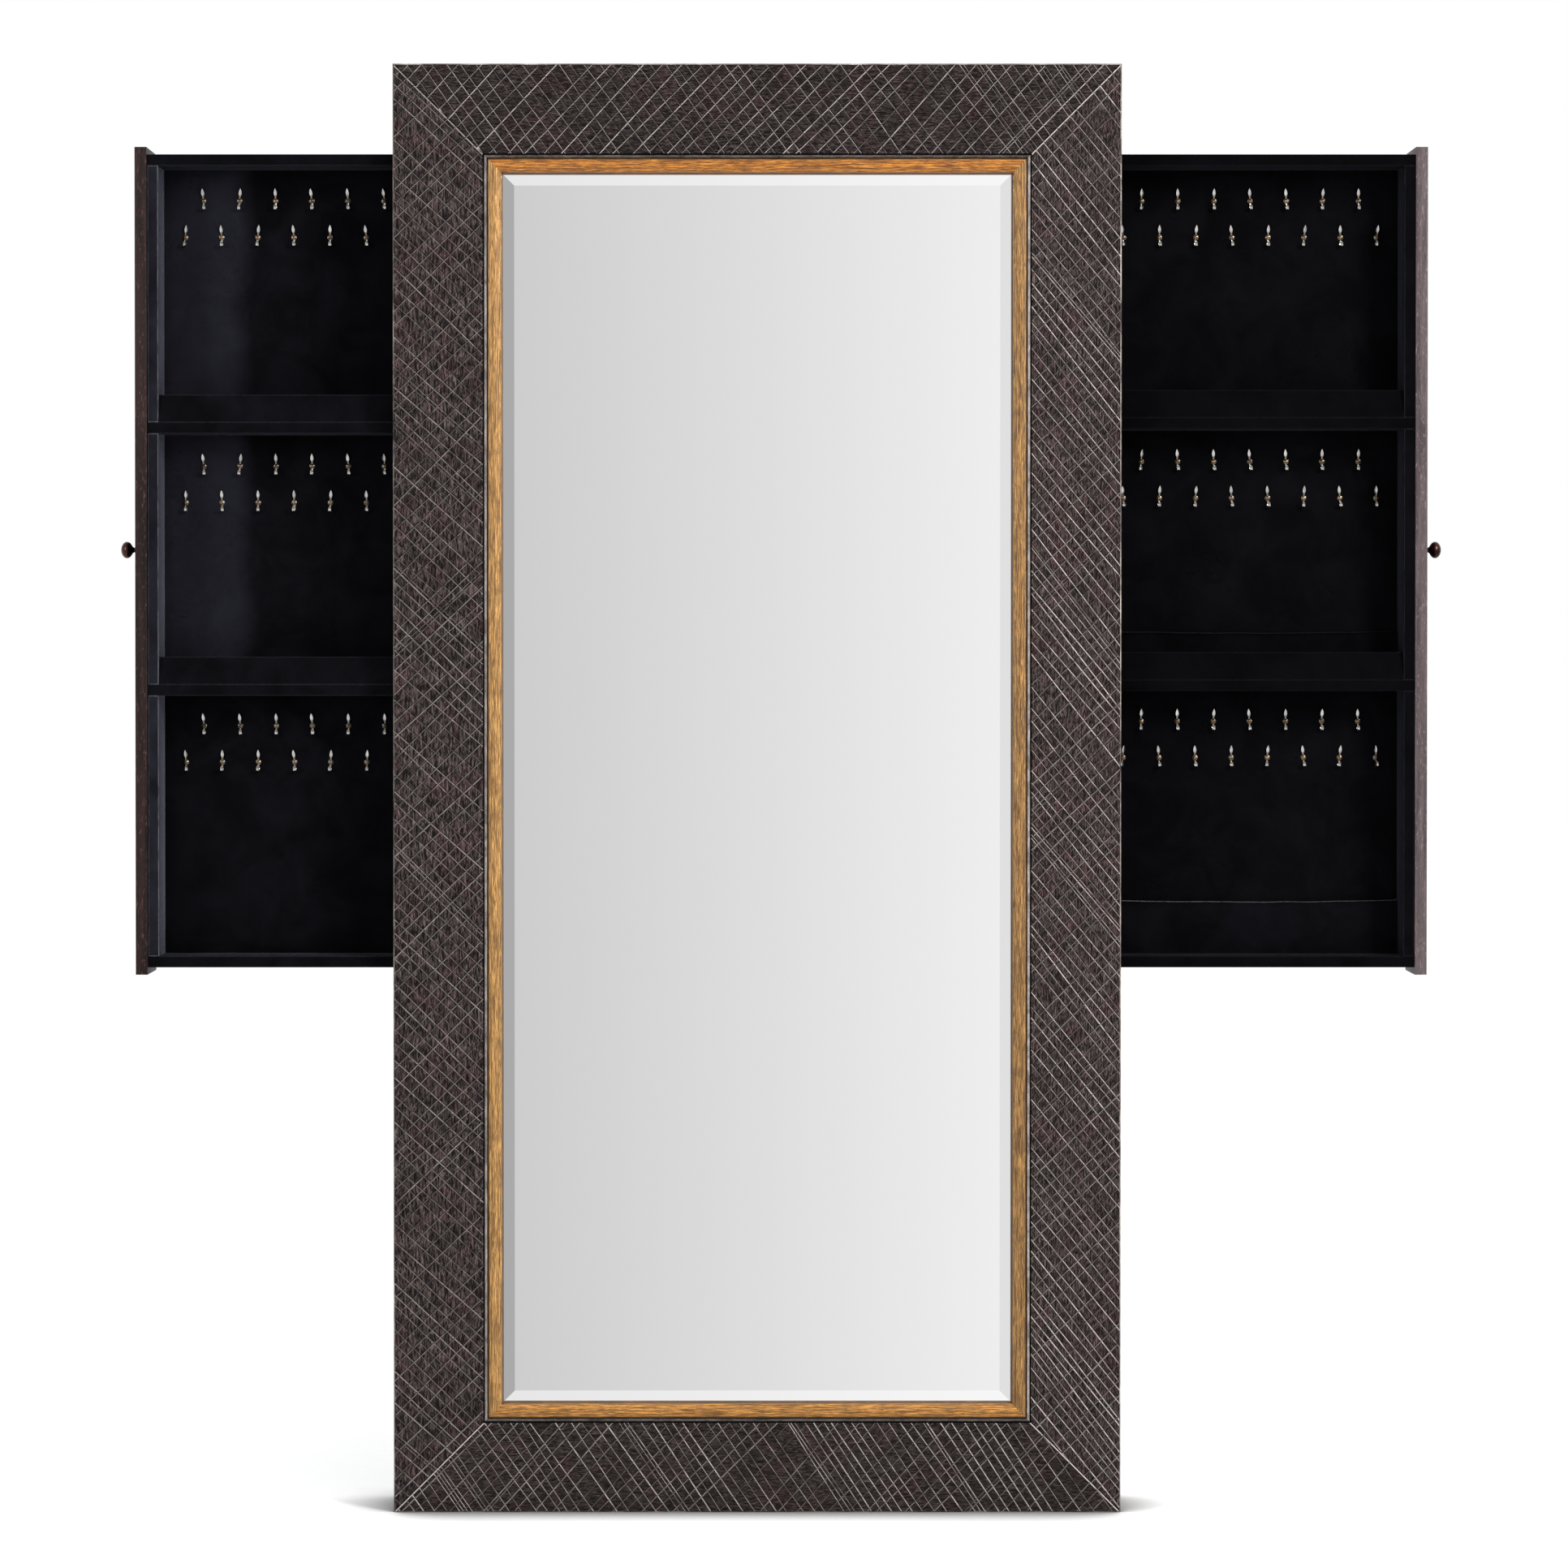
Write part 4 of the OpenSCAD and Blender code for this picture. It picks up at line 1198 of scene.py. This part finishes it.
def hook_shape():
    """A cast double hook at the origin, in millimetres: a leaf above, a rounded prong below, a boss between.

    Its points carry rubbed, which is 1 at both ends.
    """
    bm = bmesh.new()
    lean = [LEAF_LEAN * ((z - LEAF_FOOT) / LEAF_RISE) ** 1.5 for z, _, _ in LEAF]
    swept(bm, [Vector((0, STEM_Y - y, z)) for y, (z, _, _) in zip(lean, LEAF)], [(w, t) for _, w, t in LEAF])
    path = [Vector((0, STEM_Y, z)) for z, _, _ in STEM]
    size = [(w, t) for _, w, t in STEM]
    for i in range(PRONG_STEPS + 1):
        a = math.pi * i / PRONG_STEPS
        y = STEM_Y - PRONG_RADIUS + PRONG_RADIUS * math.cos(a)
        path.append(Vector((0, y, PRONG_TURN_Z - PRONG_RADIUS * math.sin(a))))
        size.append((2.1 + 0.3 * math.sin(a / 2), 1.2))
    tip = path[-1]
    for rise, w in TIP:
        path.append(tip + Vector((0, -0.12 * rise, rise)))
        size.append((w, min(1.2, w)))
    swept(bm, path, size)
    lathe(bm, BOSS, 28, OUT_OF_THE_BOARD)
    bmesh.ops.recalc_face_normals(bm, faces=bm.faces)
    rubbed = bm.verts.layers.float.new("rubbed")
    for v in bm.verts:
        v[rubbed] = max(limited((v.co.z - 7.0) / 3.0), limited((-8.5 - v.co.z) / 2.5))
    return bm


# (radius, height) of a pan head with a hollow in its middle, in millimetres
SCREW_HEAD = [
    (0, 0.9), (3.3, 0.9), (3.45, 1.6), (3.3, 2.2), (2.8, 2.75),
    (2.1, 3.1), (1.45, 3.2), (1.0, 2.1), (0, 1.9),
]


def screw_shape():
    """A brass pan-head screw, in millimetres. Its hollow is drawn out four ways into a cross recess."""
    bm = bmesh.new()
    lathe(bm, SCREW_HEAD, 32, OUT_OF_THE_BOARD)
    for v in bm.verts:
        r = math.hypot(v.co.x, v.co.z)
        if 0.5 < r < 1.6 and v.co.y < -1.5:
            star = 1 + 0.32 * math.cos(4 * math.atan2(v.co.z, v.co.x))
            v.co.x *= star
            v.co.z *= star
    bmesh.ops.recalc_face_normals(bm, faces=bm.faces)
    return bm


def scattered(shape, places, turns):
    """One bmesh with a copy of the shape, drawn in millimetres, at each place in metres."""
    whole = bmesh.new()
    mesh = bpy.data.meshes.new("part")
    shape.to_mesh(mesh)
    shape.free()
    for place, turn in zip(places, turns):
        before = len(whole.verts)
        whole.from_mesh(mesh)
        whole.verts.ensure_lookup_table()
        matrix = Matrix.Translation(place) @ Euler(turn).to_matrix().to_4x4() @ Matrix.Scale(MM, 4)
        bmesh.ops.transform(whole, matrix=matrix, verts=whole.verts[before:])
    bpy.data.meshes.remove(mesh)
    return whole


def hooks_and_screws(side):
    """A hook and a screw wherever the CAD has a screw, each turned a little by hand."""
    face_y = islands(side + "_lining")[0][0].y
    places = []
    for low, high in islands(side + "_hook_screws"):
        middle = (low + high) / 2
        places.append(Vector((middle.x, face_y, middle.z)))
    places.sort(key=lambda p: (round(p.z, 3), p.x))
    r = random.Random(7 if side == "left" else 8)
    turns = [(r.uniform(-0.03, 0.03), r.uniform(-0.11, 0.11), r.uniform(-0.06, 0.06)) for _ in places]
    spins = [(0, r.uniform(0, math.pi), 0) for _ in places]
    body = side + "_drawer"
    hooks = scattered(hook_shape(), places, turns)
    piece(side + "_hooks_cast", hooks, "bronze", body, (side + "_hooks",), smooth=50)
    screws = scattered(screw_shape(), places, spins)
    piece(side + "_hook_screws_turned", screws, "brass", body, (side + "_hook_screws",), smooth=40)


BALL_RADIUS, BALL_CENTRE, BALL_HALF_LENGTH = 12.75, 19.0, 9.0
# (radius, height) of the knob's foot ring and neck, in millimetres
KNOB_FOOT = [
    (0, 0), (5.2, 0), (5.5, 0.5), (5.1, 1.2), (4.2, 2.0), (3.8, 3.5), (3.7, 7.5), (4.2, 9.2), (5.4, 10.3),
]


def turned_knob(side):
    """Ball knob on a slim neck with a small foot ring, turned about X."""
    low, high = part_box(side + "_knob")
    out = OUTWARD[side]
    radius = (high.z - low.z) / 2
    foot = low.x if out > 0 else high.x
    centre = Vector((foot, (low.y + high.y) / 2, (low.z + high.z) / 2))
    profile = list(KNOB_FOOT)
    for i in range(-7, 13):
        a = math.pi / 2 * i / 12
        r = BALL_RADIUS * math.cos(a) if i < 12 else 0
        profile.append((r, BALL_CENTRE + BALL_HALF_LENGTH * math.sin(a)))
    scale = radius / MM / BALL_RADIUS
    matrix = Matrix.Translation(centre) @ Matrix.Rotation(out * math.pi / 2, 4, "Y")
    bm = bmesh.new()
    lathe(bm, [(r * scale * MM, h * MM) for r, h in profile], 56, matrix)
    bmesh.ops.recalc_face_normals(bm, faces=bm.faces)
    piece(side + "_knob_turned", bm, "knob_bronze", side + "_drawer", (side + "_knob",), smooth=35)
    repaint(side + "_knob_screw", "steel")


def pocket(side, which, low, high):
    """A strip of velvet held across the lining: its top hem bellies out and dips between its ends.

    Faces along the hem carry rim, a painted highlight line which fades from left to right.
    """
    level = ("bottom", "middle")[which]
    bm = bmesh.new()
    rim = bm.faces.layers.float.new("rim")
    width, height = high.x - low.x, high.z - low.z
    depth = high.y - low.y
    thickness = 1.4 * MM
    across, returns, up = 96, 5, 13  # steps along the strip, along each end and up to the hem
    hem = 0.9 * MM / height
    levels = [j / up * (1 - 2 * hem) for j in range(up + 1)] + [1 - 1.6 * hem, 1 - hem, 1 - 0.4 * hem, 1]
    bead = [0] * (up + 1) + [0.55, 0.9, 0.8, 0]
    nz = len(levels) - 1
    path = []
    for i in range(returns):
        path.append((low.x + thickness, high.y - depth * i / returns, 0.0))
    for i in range(across + 1):
        path.append((low.x + thickness + (width - 2 * thickness) * i / across, low.y, 1.0))
    for i in range(returns - 1, -1, -1):
        path.append((high.x - thickness, high.y - depth * i / returns, 0.0))
    columns = []
    for x, y, free in path:
        share = (x - low.x) / width
        belly = math.sin(math.pi * limited(share)) ** 0.7 if free else 0
        column = []
        for t, swell in zip(levels, bead):
            fold = noise.noise(Vector((x * 24, 3.7 * (which + 1), t * 1.3)))
            lean = 2.3 * MM * belly * t * (0.6 + 0.9 * fold)
            dip = 3.4 * MM * belly * t + 1.2 * MM * fold * t * belly
            column.append(Vector((x, y - lean - swell * free * MM, low.z + height * t - dip)))
        columns.append(column)
    outer = [[bm.verts.new(p) for p in column] for column in columns]
    inner = []
    for k, column in enumerate(columns):
        ahead = columns[min(k + 1, len(columns) - 1)][0] - columns[max(k - 1, 0)][0]
        inward = Vector((-ahead.y, ahead.x, 0)).normalized() * thickness
        inner.append([bm.verts.new(p + inward) for p in column])
    last = len(columns) - 1
    for k in range(last):
        for j in range(nz):
            front = bm.faces.new((outer[k][j], outer[k + 1][j], outer[k + 1][j + 1], outer[k][j + 1]))
            # painted highlight along the hem's bead, fading from left to right
            front[rim] = 1.0 - 0.65 * k / last if bead[j] > 0.5 else 0.0
            bm.faces.new((inner[k][j], inner[k][j + 1], inner[k + 1][j + 1], inner[k + 1][j]))
        top = bm.faces.new((outer[k][nz], outer[k + 1][nz], inner[k + 1][nz], inner[k][nz]))
        # painted highlight on the hem's top, fading from left to right
        top[rim] = 0.6 - 0.4 * k / last
        bm.faces.new((outer[k][0], inner[k][0], inner[k + 1][0], outer[k + 1][0]))
    for k in (0, last):
        for j in range(nz):
            bm.faces.new((outer[k][j], outer[k][j + 1], inner[k][j + 1], inner[k][j]))
    bmesh.ops.recalc_face_normals(bm, faces=bm.faces)
    name = f"{side}_{level}_chain_pocket"
    stands_for = (side + "_chain_pockets",)
    made = piece(name, bm, "pocket_" + level, side + "_drawer", stands_for, smooth=60)


def tray(side):
    """One tray: panel, boards, shelves, lips, lining, hooks and knob."""
    body = side + "_drawer"
    out = OUTWARD[side]
    panel_low, panel_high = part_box(side + "_front_panel")
    touching = panel_low.x if out > 0 else panel_high.x
    bottom_z, top_z = panel_low.z, panel_high.z

    def off_the_panel(co):
        """The side board and the backboard stand a hair off the panel, and daylight shows through."""
        if abs(co.x - touching) < 0.1 * MM:
            fall = 1 - (co.z - bottom_z) / (top_z - bottom_z)
            gap = 1.1 * MM if out < 0 else 1.2 * MM * max(0.0, fall * 2 - 0.7)
            return Vector((co.x - out * gap, co.y, co.z))
        return co

    def wrapped(part, look, radius=1.0 * MM, waver=0.2 * MM, trim=None):
        node = f"{side}_{part}"
        softened(node + "_wrapped", node, look + side, body, radius, waver, trim)

    panel = side + "_front_panel"
    softened(panel + "_board", panel, "panel_" + side, body, 1.2 * MM)
    for part in ("tray_top", "tray_bottom", "shelf_upper", "shelf_lower", "tray_side_inner"):
        wrapped(part, "boards_")
    wrapped("tray_side_outer", "outer_side_", trim=off_the_panel)
    wrapped("tray_back", "boards_", trim=off_the_panel)
    for part in ("fence_upper", "fence_lower"):
        wrapped(part, "boards_", radius=1.1 * MM, waver=0.3 * MM)
    lining_pads(side)
    hooks_and_screws(side)
    turned_knob(side)
    repaint(side + "_slide_inner_rails", "steel")
    repaint(side + "_slide_middle_rails", "steel")


for side in SIDES:
    tray(side)
pockets = sorted(islands("right_chain_pockets"), key=lambda pair: pair[0].z)
for which, (low, high) in enumerate(pockets):
    pocket("right", which, low, high)
